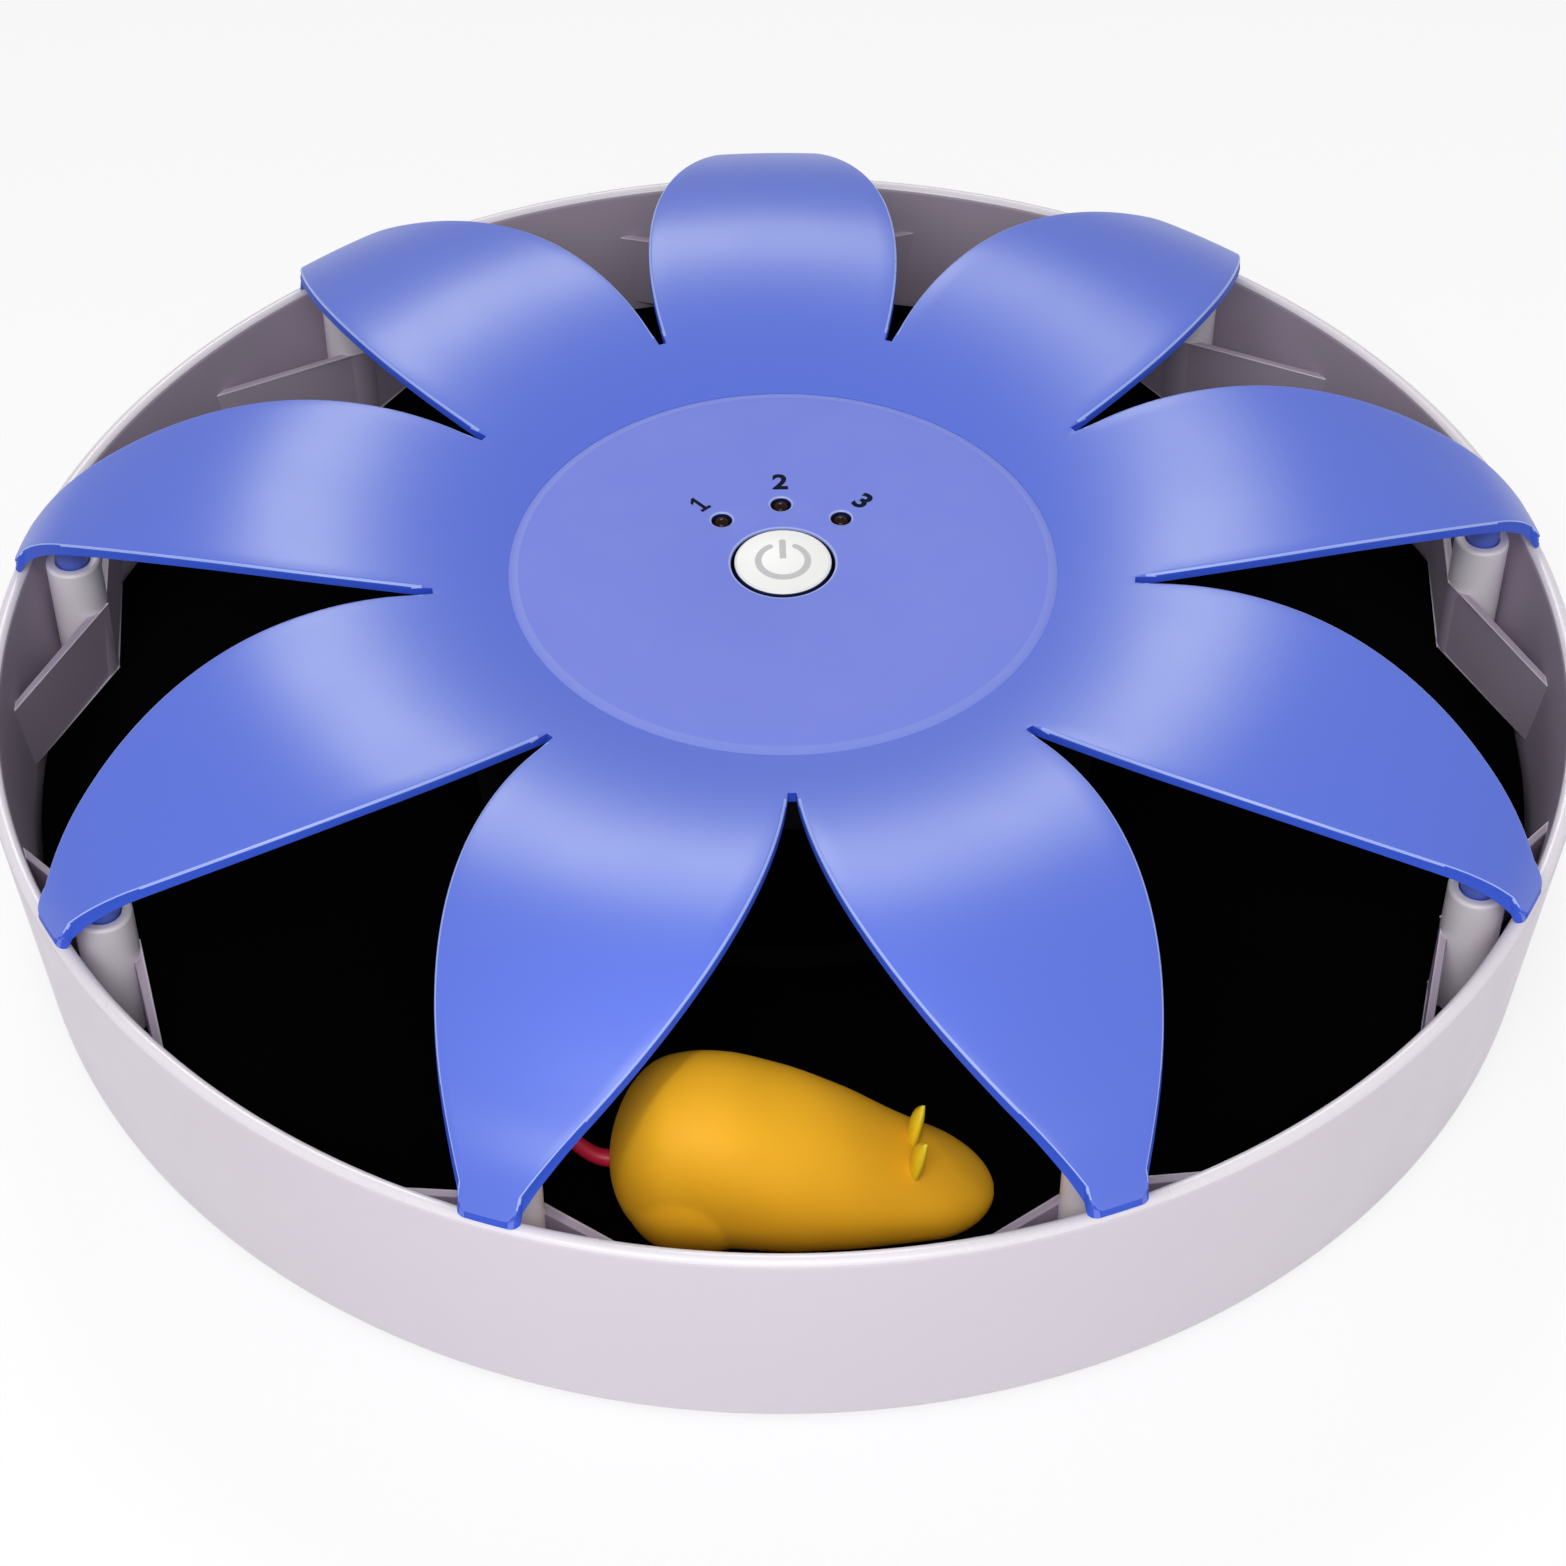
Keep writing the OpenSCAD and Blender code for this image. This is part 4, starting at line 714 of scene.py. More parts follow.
@dataclass
class FlowerCover:
    """Blue cover: a shell of three tangent arcs, cut to nine petals that end in pins."""

    petals: int = 9
    half_w: float = 20.9
    mid_r: float = 73.0
    point_w: float = 3.0
    tip_half_w: float = 4.6
    tip_corner: float = 1.5
    tip_r: float = 124.5
    slot_r: float = 54.3
    thick: float = 1.7
    crest_r: float = 79.0
    crest_z: float = 60.6
    panel_r: float = 42.4
    recess_r: float = 42.55
    dish_drop: float = 7.17
    shoulder_r: float = 114.0
    shoulder_drop: float = 9.08
    tip_z: float = 40.96
    rest_z: float = 39.55
    pin_r: float = 116.0
    pin_d: float = 5.4
    pin_low: float = 29.5
    pin_chamfer: Flat = (0.6, 0.8)
    pin_sink: float = 0.6
    columns: int = 24
    edge_r: float = 0.6
    neck_x: float = 51.26
    even_x: float = 119.0
    even_rows: int = 46
    neck_rows: int = 8

    # Rows close together where the tip bends and ends
    TIP_ROWS = (119.7, 120.4, 121.1, 121.8, 122.4, 122.95, 123.45, 123.9, 124.25, 124.45)
    # Columns in the rounding of a petal's side, as shares of its radius
    EDGE_COLUMNS = (0.0, 0.12, 0.35, 0.7, 1.0)
    # Rings under the dish: inner and outer radius and the height of the foot
    SKIRTS = ((50.4, 52.0, 47.5), (44.2, 45.8, 49.0))
    SKIRT_ROUND = 0.3
    # Plate under the panel: bore, outer radius, and the heights of its faces
    PLATE = (8.1, 44.0, 50.5, 52.1)
    PLATE_ROUND = 0.2

    def __post_init__(self) -> None:
        """Works out the three arcs of the section and the arc of a petal's side."""
        dish = self.crest_r - self.panel_r
        self.dish_arc = (dish**2 + self.dish_drop**2) / (2.0 * self.dish_drop)
        fall = self.shoulder_r - self.crest_r
        self.crown_arc = (fall**2 + self.shoulder_drop**2) / (2.0 * self.shoulder_drop)
        shoulder = Vector((self.shoulder_r, self.crest_z - self.shoulder_drop))
        lean = asin(fall / self.crown_arc)
        normal = Vector((sin(lean), cos(lean)))
        chord = Vector((self.tip_r, self.tip_z)) - shoulder
        self.tip_arc = -chord.length_squared / (2.0 * chord.dot(normal))
        self.tip_at = shoulder - normal * self.tip_arc
        taper = self.half_w - self.point_w
        self.side_arc = ((self.tip_r - self.mid_r) ** 2 + taper**2) / (2.0 * taper)

    def height(self, r: float, inset: float = 0.0) -> float:
        """Gives the shell's height.

        Args:
            r: radius.
            inset: depth below the upper face, square to it.

        Returns:
            The height of that face at the radius.
        """
        arc = self.dish_arc if r <= self.crest_r else self.crown_arc
        x, z = self.crest_r, self.crest_z - arc
        if r > self.shoulder_r:
            arc, x, z = self.tip_arc, self.tip_at.x, self.tip_at.y
        return z + sqrt(max(0.0, (arc - inset) ** 2 - (r - x) ** 2))

    def slope(self, r: float) -> float:
        """Gives the slope of the shell's upper face.

        Args:
            r: radius.

        Returns:
            The height that the face gains there for each millimetre outwards.
        """
        step = 0.2
        near = min(r, self.tip_r - 1.5 * step)
        return (self.height(near + step) - self.height(near - step)) / (2.0 * step)

    def side(self, x: float) -> float:
        """Gives a petal's half width.

        Args:
            x: place along the petal's axis.

        Returns:
            The half width there.
        """
        over = x - (self.tip_r - self.tip_corner)
        if over > 0.0:
            return self.tip_half_w - self.tip_corner + sqrt(max(0.0, self.tip_corner**2 - over**2))
        edge = self.half_w - self.side_arc + sqrt(self.side_arc**2 - (x - self.mid_r) ** 2)
        return max(edge, self.tip_half_w) if x > self.shoulder_r else edge

    def rows(self) -> list[Flat]:
        """Works out the rows of a petal, from the slots' ends to the tip.

        Returns:
            Radius and half angle of each row.
        """
        step = (self.even_x - self.neck_x) / self.even_rows
        reach = [self.neck_x + step * i for i in range(self.even_rows + 1)]
        reach += [*self.TIP_ROWS, self.tip_r]
        return [(hypot(x, self.side(x)), atan2(self.side(x), x)) for x in reach]

    def insets(self, half: float) -> list[float]:
        """Gives the columns' distances from a petal's one side, closer together at both sides.

        Args:
            half: half of the petal's width there.

        Returns:
            One distance for each line of points.
        """
        edge = [self.edge_r * share for share in self.EDGE_COLUMNS]
        inner = self.columns - 2 * (len(edge) - 1)
        step = 2.0 * (half - self.edge_r) / inner
        even = [self.edge_r + step * i for i in range(1, inner)]
        return edge + even + [2.0 * half - d for d in edge[::-1]]

    def spot(self, r: float, angle: float, edge: float) -> tuple[Point, Point]:
        """Gives a point of the upper face, as it is without the rounding of a side and with it.

        Args:
            r: radius.
            angle: angle in radians.
            edge: distance from the side.

        Returns:
            The point on the plain face, and the point sunk square to that face.
        """
        near = self.edge_r - min(max(edge, 0.0), self.edge_r)
        drop = self.edge_r - sqrt(self.edge_r**2 - near**2)
        slope = self.slope(r)
        steep = hypot(1.0, slope)
        inside = r + drop * slope / steep
        z = self.height(min(r, self.tip_r))
        return (*polar(r, angle), z), (*polar(inside, angle), z - drop / steep)

    def under(self, r: float) -> float:
        """Gives the height of the lower face, which ends level where the tips rest on the rim."""
        floor = self.rest_z if r > self.crest_r else 0.0
        return max(self.height(min(r, self.tip_r), self.thick), floor)

    def shell(self) -> Shape:
        """Builds the shell's upper and lower faces and the walls between them.

        Returns:
            The closed shell.
        """
        outer = self.rows()
        neck_r, neck = outer[0]
        step = (neck_r - self.recess_r) / self.neck_rows
        grid = [(self.recess_r + step * i, neck) for i in range(self.neck_rows)] + outer
        between = -1  # key of the line of points between two petals
        reach, rate = 2.0, 3.0  # beyond a slot's end, where the sides' rounding sets in
        spots: list[tuple[Point, Point]] = []
        index: dict[tuple[int, int, int], int] = {}
        for petal, axis in enumerate(Bowl().angles()):
            for row, (r, half) in enumerate(grid):
                ease = max(0.0, self.slot_r + reach - r) / rate if row >= self.neck_rows else self.edge_r
                for col, inset in enumerate(self.insets(r * half)):
                    index[petal, row, col] = len(spots)
                    edge = min(inset, 2.0 * r * half - inset) + ease
                    spots.append(self.spot(r, axis - half + inset / r, edge))
                if row <= self.neck_rows:
                    index[petal, row, between] = len(spots)
                    spots.append(self.spot(r, axis + pi / self.petals, self.edge_r))
        quads: list[tuple[int, ...]] = []
        for petal in range(self.petals):
            for row in range(len(grid) - 1):
                lines = [(petal, col) for col in range(self.columns + 1)]
                if row < self.neck_rows:
                    lines = [((petal - 1) % self.petals, between), *lines, (petal, between)]
                for (p, a), (q, b) in zip(lines, lines[1:]):
                    keys = ((p, row, a), (p, row + 1, a), (q, row + 1, b), (q, row, b))
                    quads.append(tuple(index[k] for k in keys))
        edges = {pair for quad in quads for pair in zip(quad, quad[1:] + quad[:1])}
        count = len(spots)
        walls = [(b, a, count + a, count + b) for a, b in sorted(edges) if (b, a) not in edges]
        lower = [tuple(count + i for i in reversed(q)) for q in quads]
        top = [sunk for _, sunk in spots]
        low = [(x, y, self.under(hypot(x, y))) for (x, y, _), _ in spots]
        shape = Shape()
        shape.add(top + low, quads + lower + walls)
        return shape

    def zone(self, centre: Vector, normal: Vector) -> int:
        """Tells the walls (painted shade) and the rounded edges (painted highlight) from the upper and lower
        faces.

        Args:
            centre: a face's centre in millimetres.
            normal: its normal.

        Returns:
            1 on a wall, 2 on a rounded edge and 0 elsewhere.
        """
        steepest, roundest, margin = 0.3, 0.97, 1.0
        if abs(normal.z) < steepest:
            return 1
        r = hypot(centre.x, centre.y)
        slope = self.slope(r)
        out = (normal.x * centre.x + normal.y * centre.y) / r
        square = (normal.z - slope * out) / hypot(1.0, slope)
        along = self.slot_r + margin < r < self.tip_r - margin
        return 2 if along and 0.0 < square < roundest else 0

    def shaded_skirt_zone(self, centre: Vector, normal: Vector) -> int:
        """Tells the skirts and plate, painted black as painted shade (1), from the pins (0) by their radius.
        """
        return 1 if hypot(centre.x, centre.y) < self.mid_r else 0

    def pin(self, parts: Shape, angle: float) -> None:
        """Adds one pin, whose top follows the shell's lower face.

        Args:
            parts: the mesh that takes it.
            angle: the petal's angle.
        """
        sides = 40
        half = self.pin_d / 2.0
        at = polar(self.pin_r, angle)
        foot = circle(half - self.pin_chamfer[0], self.pin_low, sides, at)
        shaft = circle(half, self.pin_low + self.pin_chamfer[1], sides, at)
        head = [(x, y, self.height(hypot(x, y), self.thick) + self.pin_sink) for x, y, _ in shaft]
        parts.tube((foot, shaft, head))

    def build(self) -> None:
        """Builds the cover over its CAD node."""
        # The walls take painted shade and the rounded top edges a painted highlight
        shell = self.shell().piece(
            "petal_shell", BLUE_ABS, Body.BASE, "blue_abs", sharp=32.0, others=(BLUE_SHADED_WALL, BLUE_EDGE_HIGHLIGHT),
            zone=self.zone,
        )
        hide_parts("flower_cover")
        parts = Shape()
        for angle in Bowl().angles():
            self.pin(parts, angle)
        steps, skirt_sides, plate_sides = 3, 160, 128
        bend = self.SKIRT_ROUND
        for r0, r1, z0 in self.SKIRTS:
            z1 = self.height(r0) - self.thick / 2.0
            ring = [(r0, z0, bend), (r1, z0, bend), (r1, z1, 0.0), (r0, z1, 0.0)]
            parts.turn(fillet(ring, steps), skirt_sides)
        bend = self.PLATE_ROUND
        r0, r1, z0, z1 = self.PLATE
        plate = [(r0, z0, bend), (r1, z0, 0.0), (r1, z1, 0.0), (r0, z1, bend)]
        parts.turn(fillet(plate, steps), plate_sides)
        # The cover's skirts and plate take the black finish as painted shade
        parts.piece(
            "cover_pins_and_skirt", BLUE_ABS, Body.BASE, "blue_abs", others=(BLACK_ABS,), zone=self.shaded_skirt_zone
        )


@dataclass
class ControlPanel:
    """Lavender disc with the power button, three lamps and their numerals."""

    radius: float = 42.55
    face_z: float = 53.9
    back_z: float = 52.15
    button_r: float = 7.62
    button_gap: float = 0.48
    button_low: float = 48.6
    button_rim: float = 54.15
    button_dome: float = 0.7
    shoulder: float = 0.7
    flange_r: float = 9.55
    flange_t: float = 1.6
    key_shade: float = 0.05
    lamp_arc: float = 14.0
    lamp_r: float = 1.5
    lamp_hole: float = 1.65
    lamp_low: float = 48.7
    lamp_top: float = 53.95
    lamp_step: float = 42.0
    collar: Flat = (0.4, 1.0)
    leg_at: float = 1.26
    leg_half: float = 0.25
    leg_low: float = 44.1
    leg_sink: float = 0.5
    label_r: float = 19.2
    label_h: float = 3.6
    label_t: float = 0.04
    font_scale: float = 1.38
    font_swell: float = 0.16
    sign_r: float = 3.85
    sign_w: float = 1.02
    sign_y: float = -0.5
    sign_gap: float = 31.0
    bar_ends: Flat = (0.3, 5.0)
    bar_round: float = 0.35
    bar_taper: float = 0.45
    disc_sides: int = 200
    hole_sides: int = 96
    key_sides: int = 112
    lamp_sides: int = 40

    # Steps outwards and down from an edge: the disc's bevel and the rims of the two kinds of hole
    BEVEL = ((-2.0, 0.0), (-1.5, -0.03), (-0.8, -0.17), (-0.2, -0.36), (0.0, -0.48))
    KEY_RIM = ((0.35, 0.0), (0.08, -0.1), (0.0, -0.35))
    LAMP_RIM = ((0.3, 0.0), (0.26, -0.01), (0.05, -0.15), (0.0, -0.23))
    # The numeral 1, from the middle of its height: a bar with a flag and a foot
    ONE = (
        (-0.95, -1.8), (0.95, -1.8), (0.95, -1.25), (0.3, -1.25), (0.3, 1.8), (-0.2, 1.8),
        (-0.95, 1.05), (-0.95, 0.45), (-0.3, 0.95), (-0.3, -1.25), (-0.95, -1.25),
    )

    def lamp_places(self) -> list[tuple[float, Flat]]:
        """Gives each lamp's angle in radians and its place, from left to right."""
        angles = [radians(90.0 + self.lamp_step * i) for i in (1, 0, -1)]
        return [(a, polar(self.lamp_arc, a)) for a in angles]

    def zone(self, centre: Vector, normal: Vector) -> int:
        """Tells the bevel and the holes' rims (painted highlights) and the holes' walls (painted shade) from
        the face.

        Args:
            centre: a face's centre in millimetres.
            normal: its normal.

        Returns:
            1 on the outer bevel, 2 in a hole, 3 on a hole's rim and 0 on the face.
        """
        upright, level = 0.2, 0.998
        inside = hypot(centre.x, centre.y) < self.label_r
        if abs(normal.z) < upright and inside:
            return 2
        if not upright < normal.z < level:
            return 0
        return 3 if inside else 1

    def shaded_key_zone(self, centre: Vector, normal: Vector) -> int:
        """Tells the key's foot in the hole, which gets painted shade (1), from its top (0) by the height."""
        return 1 if centre.z < self.face_z - self.key_shade else 0

    def face(self) -> None:
        """Builds the disc with its bevelled edge, countersunk lamp holes and button hole."""
        middle = (0.0, 0.0)
        rims = [(middle, self.radius, self.BEVEL, self.disc_sides)]
        rims += [(middle, self.button_r + self.button_gap, self.KEY_RIM, self.hole_sides)]
        rims += [(at, self.lamp_hole, self.LAMP_RIM, self.lamp_sides) for _, at in self.lamp_places()]
        shape = Shape()
        loops: list[list[int]] = []
        for at, radius, steps, sides in rims:
            first = len(shape.points)
            loops.append([first + k for k in range(sides)])
            profile = [(radius + out, self.face_z + up) for out, up in steps] + [(radius, self.back_z)]
            shape.tube([circle(r, z, sides, at) for r, z in profile], Ends.OPEN)
        work = bmesh.new()
        spots = [work.verts.new(Vector(p) * MM) for p in shape.points]
        pairs = [pair for loop in loops for pair in zip(loop, loop[1:] + loop[:1])]
        edges = [work.edges.new((spots[a], spots[b])) for a, b in pairs]
        up = (0.0, 0.0, 1.0)
        bmesh.ops.triangle_fill(work, use_beauty=True, use_dissolve=False, edges=edges, normal=up)
        work.verts.index_update()
        shape.faces.extend(tuple(v.index for v in f.verts) for f in work.faces)
        work.free()
        # The bevel and the holes' rims take painted highlights, the holes' walls painted shade
        piece = shape.piece(
            "panel_face", PANEL_ABS, Body.BASE, "lavender_abs", sharp=35.0,
            others=(PANEL_BEVEL_HIGHLIGHT, NAVY_SHADE_ABS, HOLE_RIM_HIGHLIGHT), zone=self.zone,
        )
        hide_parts("control_panel")

    def dome(self, r: float) -> float:
        """Gives the height of the button's top at a radius."""
        arc = (self.button_r**2 + self.button_dome**2) / (2.0 * self.button_dome)
        return self.button_rim + self.button_dome - arc + sqrt(arc**2 - r**2)

    def button(self) -> None:
        """Builds the domed key top with its rounded shoulder and its flange."""
        bends, rings = 6, 12
        top = self.button_low + self.flange_t
        profile = [(0.0, self.button_low), (self.flange_r, self.button_low), (self.flange_r, top)]
        profile.append((self.button_r, top))
        inner = self.button_r - self.shoulder
        low = self.dome(inner) - self.shoulder
        for k in range(bends + 1):
            a = TURN / 4.0 * k / bends
            profile.append((inner + self.shoulder * cos(a), low + self.shoulder * sin(a)))
        for k in range(1, rings + 1):
            r = inner * (1.0 - k / rings)
            profile.append((r, self.dome(r)))
        shape = Shape()
        shape.turn(profile, self.key_sides)
        # The key's foot below the face gets painted shade
        piece = shape.piece(
            "button_key_top", KEY_ABS, Body.BUTTON, "button_white", others=(NAVY_SHADE_ABS,), zone=self.shaded_key_zone
        )
        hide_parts("power_button")

    def strip(self, shape: Shape, sides: Sequence[tuple[Flat, Flat]]) -> None:
        """Lays a printed strip on the button's dome.

        Args:
            shape: the mesh that takes it.
            sides: left and right point of each place along it.
        """
        rings: list[list[Point]] = []
        for pair in sides:
            left, right = [(x, y + self.sign_y, self.dome(hypot(x, y + self.sign_y))) for x, y in pair]
            steps = ((left, 1.0), (right, 1.0), (right, -1.0), (left, -1.0))
            rings.append([(x, y, z + up * self.label_t) for (x, y, z), up in steps])
        shape.tube(rings, Ends.FLAT)

    def sign(self) -> None:
        """Builds the standard power sign: a ring open at the top, and a bar in the opening."""
        caps, span, steps = 6, 80, 24
        half = self.sign_w / 2.0
        first = radians(90.0 + self.sign_gap)
        sweep = radians(360.0 - 2.0 * self.sign_gap)
        ring: list[tuple[Flat, Flat]] = []
        for k in range(-caps, span + caps + 1):
            inside = min(max(k, 0), span)
            over = (k - inside) / caps
            grow = sqrt(max(0.0, 1.0 - over * over)) * half
            a = first + sweep * inside / span + over * half / self.sign_r
            ring.append((polar(self.sign_r - grow, a), polar(self.sign_r + grow, a)))
        low, high = self.bar_ends
        bar: list[tuple[Flat, Flat]] = []
        for k in range(steps + 1):
            y = low + (high - low) * k / steps
            ease = max(0.0, 1.0 - (high - y) / self.bar_round)
            wide = half * (1.0 - self.bar_taper * ease * ease)
            bar.append(((-wide, y), (wide, y)))
        shape = Shape()
        self.strip(shape, ring)
        self.strip(shape, bar)
        shape.piece("power_sign", GREY_INK, Body.BUTTON, "button_white")

    def lamps(self) -> None:
        """Builds the three domed lamps with their collars and legs."""
        bends, half = 10, self.leg_half
        wide, high = self.lamp_r + self.collar[0], self.lamp_low + self.collar[1]
        profile = [(0.0, self.lamp_low), (wide, self.lamp_low), (wide, high), (self.lamp_r, high)]
        base = self.lamp_top - self.lamp_r
        for k in range(bends):
            a = TURN / 4.0 * k / bends
            profile.append((self.lamp_r * cos(a), base + self.lamp_r * sin(a)))
        profile.append((0.0, self.lamp_top))
        shape = Shape()
        for _, (x, y) in self.lamp_places():
            shape.turn(profile, self.lamp_sides, (x, y))
            for mid in (y - self.leg_at, y + self.leg_at):
                leg = [(x + half * i, mid + half * j) for i, j in ((-1, -1), (1, -1), (1, 1), (-1, 1))]
                shape.prism(leg, self.leg_low, self.lamp_low + self.leg_sink)
        piece = shape.piece("lamp_domes", LAMP_EPOXY, Body.BASE, "lamp_epoxy")
        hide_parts("indicator_lamps")

    def figure_one(self, angle: float) -> None:
        """Prints the numeral 1 with a flag and a foot, which the font's bare bar lacks.

        Args:
            angle: its place round the button, in radians.
        """
        c, s = cos(angle), sin(angle)
        outline = [((self.label_r + y) * c + x * s, (self.label_r + y) * s - x * c) for x, y in self.ONE]
        shape = Shape()
        shape.prism(outline, self.face_z - self.label_t, self.face_z + self.label_t)
        shape.piece("numeral_1", NAVY_INK, Body.BASE, "lavender_abs")

    def figure(self, text: str, angle: float) -> None:
        """Prints a numeral in the plain font.

        Args:
            text: the numeral.
            angle: its place round the button, in radians.
        """
        curve = bpy.data.curves.new(f"numeral_{text}", "FONT")
        curve.body = text
        curve.align_x = "CENTER"
        curve.align_y = "CENTER"
        curve.size = self.font_scale * self.label_h * MM
        curve.offset = self.font_swell * MM
        curve.extrude = self.label_t * MM
        curve.resolution_u = 8
        curve.materials.append(NAVY_INK.material())
        label = put(f"numeral_{text}", curve)
        label.location = Vector((*polar(self.label_r, angle), self.face_z)) * MM
        label.rotation_euler = (0.0, 0.0, angle - TURN / 4.0)
        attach(label, Body.BASE.value)
        LOG.info("piece %s: raised print", label.name)

    def build(self) -> None:
        """Builds the panel, all that stands in it, and a numeral for each setting outside its lamp."""
        self.face()
        self.button()
        self.sign()
        self.lamps()
        one, two, three = [angle for angle, _ in self.lamp_places()]
        self.figure_one(one)
        self.figure("2", two)
        self.figure("3", three)


@dataclass
class Mouse:
    """Amber mouse on the deck, with yellow ears and a crimson tail."""

    length: float = 54.4
    tall: float = 28.5
    wide: float = 26.4
    track_r: float = 96.475
    lead: float = 0.5
    deck_z: float = 15.75
    seat: float = 0.6
    lowest: float = 0.02
    midline: float = 1e-6
    nose_from: float = 0.84
    rump_to: float = 0.17
    cap_power: float = 2.2
    section_power: float = 0.9
    swell: float = 1.0
    swell_power: float = 0.6
    haunch_at: Flat = (-0.32, 6.3)
    haunch_size: Flat = (6.6, 10.0)
    ear_l: float = 9.4
    ear_w: float = 4.6
    ear_t: float = 1.8
    ear_at: Point = (0.282, 0.095, 0.30)
    ear_splay: float = 6.0
    ear_bend: float = 1.6
    tail_d: float = 2.7
    tail_at: Flat = (4.0, 0.41)
    tail_taper: float = 0.45
    tail_round: float = 0.03
    rings: int = 140
    sides: int = 112

    # Place along the body, top, bottom and width, as shares of its length, height and width
    FORM = (
        (0.00, 0.84, 0.00, 0.82), (0.06, 0.92, 0.00, 0.85), (0.15, 0.98, 0.00, 0.90),
        (0.22, 1.00, 0.00, 0.94), (0.30, 0.975, 0.00, 0.975), (0.44, 0.85, 0.00, 1.00),
        (0.60, 0.68, 0.00, 0.92), (0.76, 0.485, 0.00, 0.76), (0.90, 0.355, 0.00, 0.62),
        (1.00, 0.285, 0.00, 0.54),
    )
    # Route of the tail from its root in the body
    TAIL = (
        (0.0, 0.0, 0.3), (-4.2, 0.0, 0.3), (-6.6, 0.3, 1.2), (-9.4, 1.0, 3.6), (-12.2, 2.0, 6.4),
        (-15.6, 3.4, 8.7), (-20.0, 5.0, 9.6), (-25.0, 7.0, 9.2),
    )

    def share(self, s: float, column: int) -> float:
        """Reads one column of the form at a place along the body, smoothly.

        Args:
            s: place from tail to nose, 0 to 1.
            column: 1 for the top, 2 for the bottom, 3 for the width.

        Returns:
            The share there.
        """
        form = self.FORM
        slopes = [(b[column] - a[column]) / (b[0] - a[0]) for a, b in zip(form, form[1:])]
        inner = [0.0 if a * b <= 0.0 else 2.0 * a * b / (a + b) for a, b in zip(slopes, slopes[1:])]
        tangents = [slopes[0], *inner, slopes[-1]]
        i = next((k for k in range(len(slopes)) if s <= form[k + 1][0]), len(slopes) - 1)
        w = form[i + 1][0] - form[i][0]
        t = (s - form[i][0]) / w
        ease = t * t * (3.0 - 2.0 * t)
        bend = t * (1.0 - t) * w * ((1.0 - t) * tangents[i] - t * tangents[i + 1])
        return (1.0 - ease) * form[i][column] + ease * form[i + 1][column] + bend

    def skin(self, s: float, a: float) -> Point:
        """Gives one point of the body's skin.

        Args:
            s: place from tail to nose.
            a: angle round the section.

        Returns:
            The point, from the middle of the body on the deck.
        """
        x = (s - 0.5) * self.length
        top, low = self.share(s, 1) * self.tall, self.share(s, 2) * self.tall
        over = max(0.0, (s - self.nose_from) / (1.0 - self.nose_from), 1.0 - s / self.rump_to)
        cap = sqrt(1.0 - over**self.cap_power)
        up = copysign(abs(sin(a)) ** self.section_power, sin(a))
        out = copysign(abs(cos(a)) ** self.section_power, cos(a))
        z = (top + low) / 2.0 + up * cap * (top - low) / 2.0
        y = out * cap * self.share(s, 3) * self.wide / 2.0
        u = (x - self.haunch_at[0] * self.length) / self.haunch_size[0]
        v = (z - self.haunch_at[1]) / self.haunch_size[1]
        thigh = max(0.0, 1.0 - u * u - v * v) ** self.swell_power
        y += copysign(self.swell * thigh, y) if abs(y) > self.midline else 0.0
        return (x, y, max(z - self.seat, self.lowest))

    def place(self, point: Point) -> Point:
        """Moves a point from the mouse's own frame to the track."""
        return (point[0] + self.lead, point[1] - self.track_r, point[2] + self.deck_z)

    def part(self, tubes: Sequence[Rings], name: str, finish: Finish, slot: str) -> bpy.types.Object:
        """Skins rings in the mouse's own frame and puts them on the track.

        Args:
            tubes: the rings of each tube.
            name: the piece's name.
            finish: its material.
            slot: the record's material slot.

        Returns:
            The new piece.
        """
        shape = Shape()
        for rings in tubes:
            shape.tube([[self.place(p) for p in ring] for ring in rings])
        return shape.piece(name, finish, Body.TURNTABLE, slot, sharp=60.0)

    def body(self) -> None:
        """Builds the lofted body."""
        end = 0.0015
        rings = []
        for i in range(self.rings):
            s = end + (1.0 - 2.0 * end) * (1.0 - cos(pi * i / (self.rings - 1))) / 2.0
            rings.append([self.skin(s, TURN * j / self.sides) for j in range(self.sides)])
        piece = self.part([rings], "mouse_skin", AMBER_VINYL, "amber_vinyl")
        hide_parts("mouse_body")

    def ear(self, side: float) -> Rings:
        """Gives the rings of one pointed ear, a thin leaf that leans outwards.

        Args:
            side: 1 or -1 for the mouse's left or right.

        Returns:
            The rings from root to point.
        """
        end, steps, count = 0.002, 32, 20
        thin, gain = 0.25, 0.9
        arc = ((self.ear_l / 2.0) ** 2 + (self.ear_w / 2.0) ** 2) / self.ear_w
        lean = radians(self.ear_splay) * -side
        x0 = self.ear_at[0] * self.length
        y0, z0 = side * self.ear_at[1] * self.wide, self.ear_at[2] * self.tall
        rings = []
        for i in range(steps + 1):
            up = (-1.0 + 2.0 * (end + (1.0 - 2.0 * end) * i / steps)) * self.ear_l / 2.0
            half = sqrt(max(0.0, arc**2 - up**2)) - arc + self.ear_w / 2.0
            thick = self.ear_t / 2.0 * min(1.0, thin + gain * half / (self.ear_w / 2.0))
            z = up + self.ear_l / 2.0
            bent = x0 + self.ear_bend * (z / self.ear_l) ** 2
            y1, z1 = y0 - z * sin(lean), z0 + z * cos(lean)
            across, rise = half * cos(lean), half * sin(lean)
            leaf = circle(1.0, 0.0, count)
            rings.append([(bent + thick * s, y1 + across * c, z1 + rise * c) for c, s, _ in leaf])
        return rings

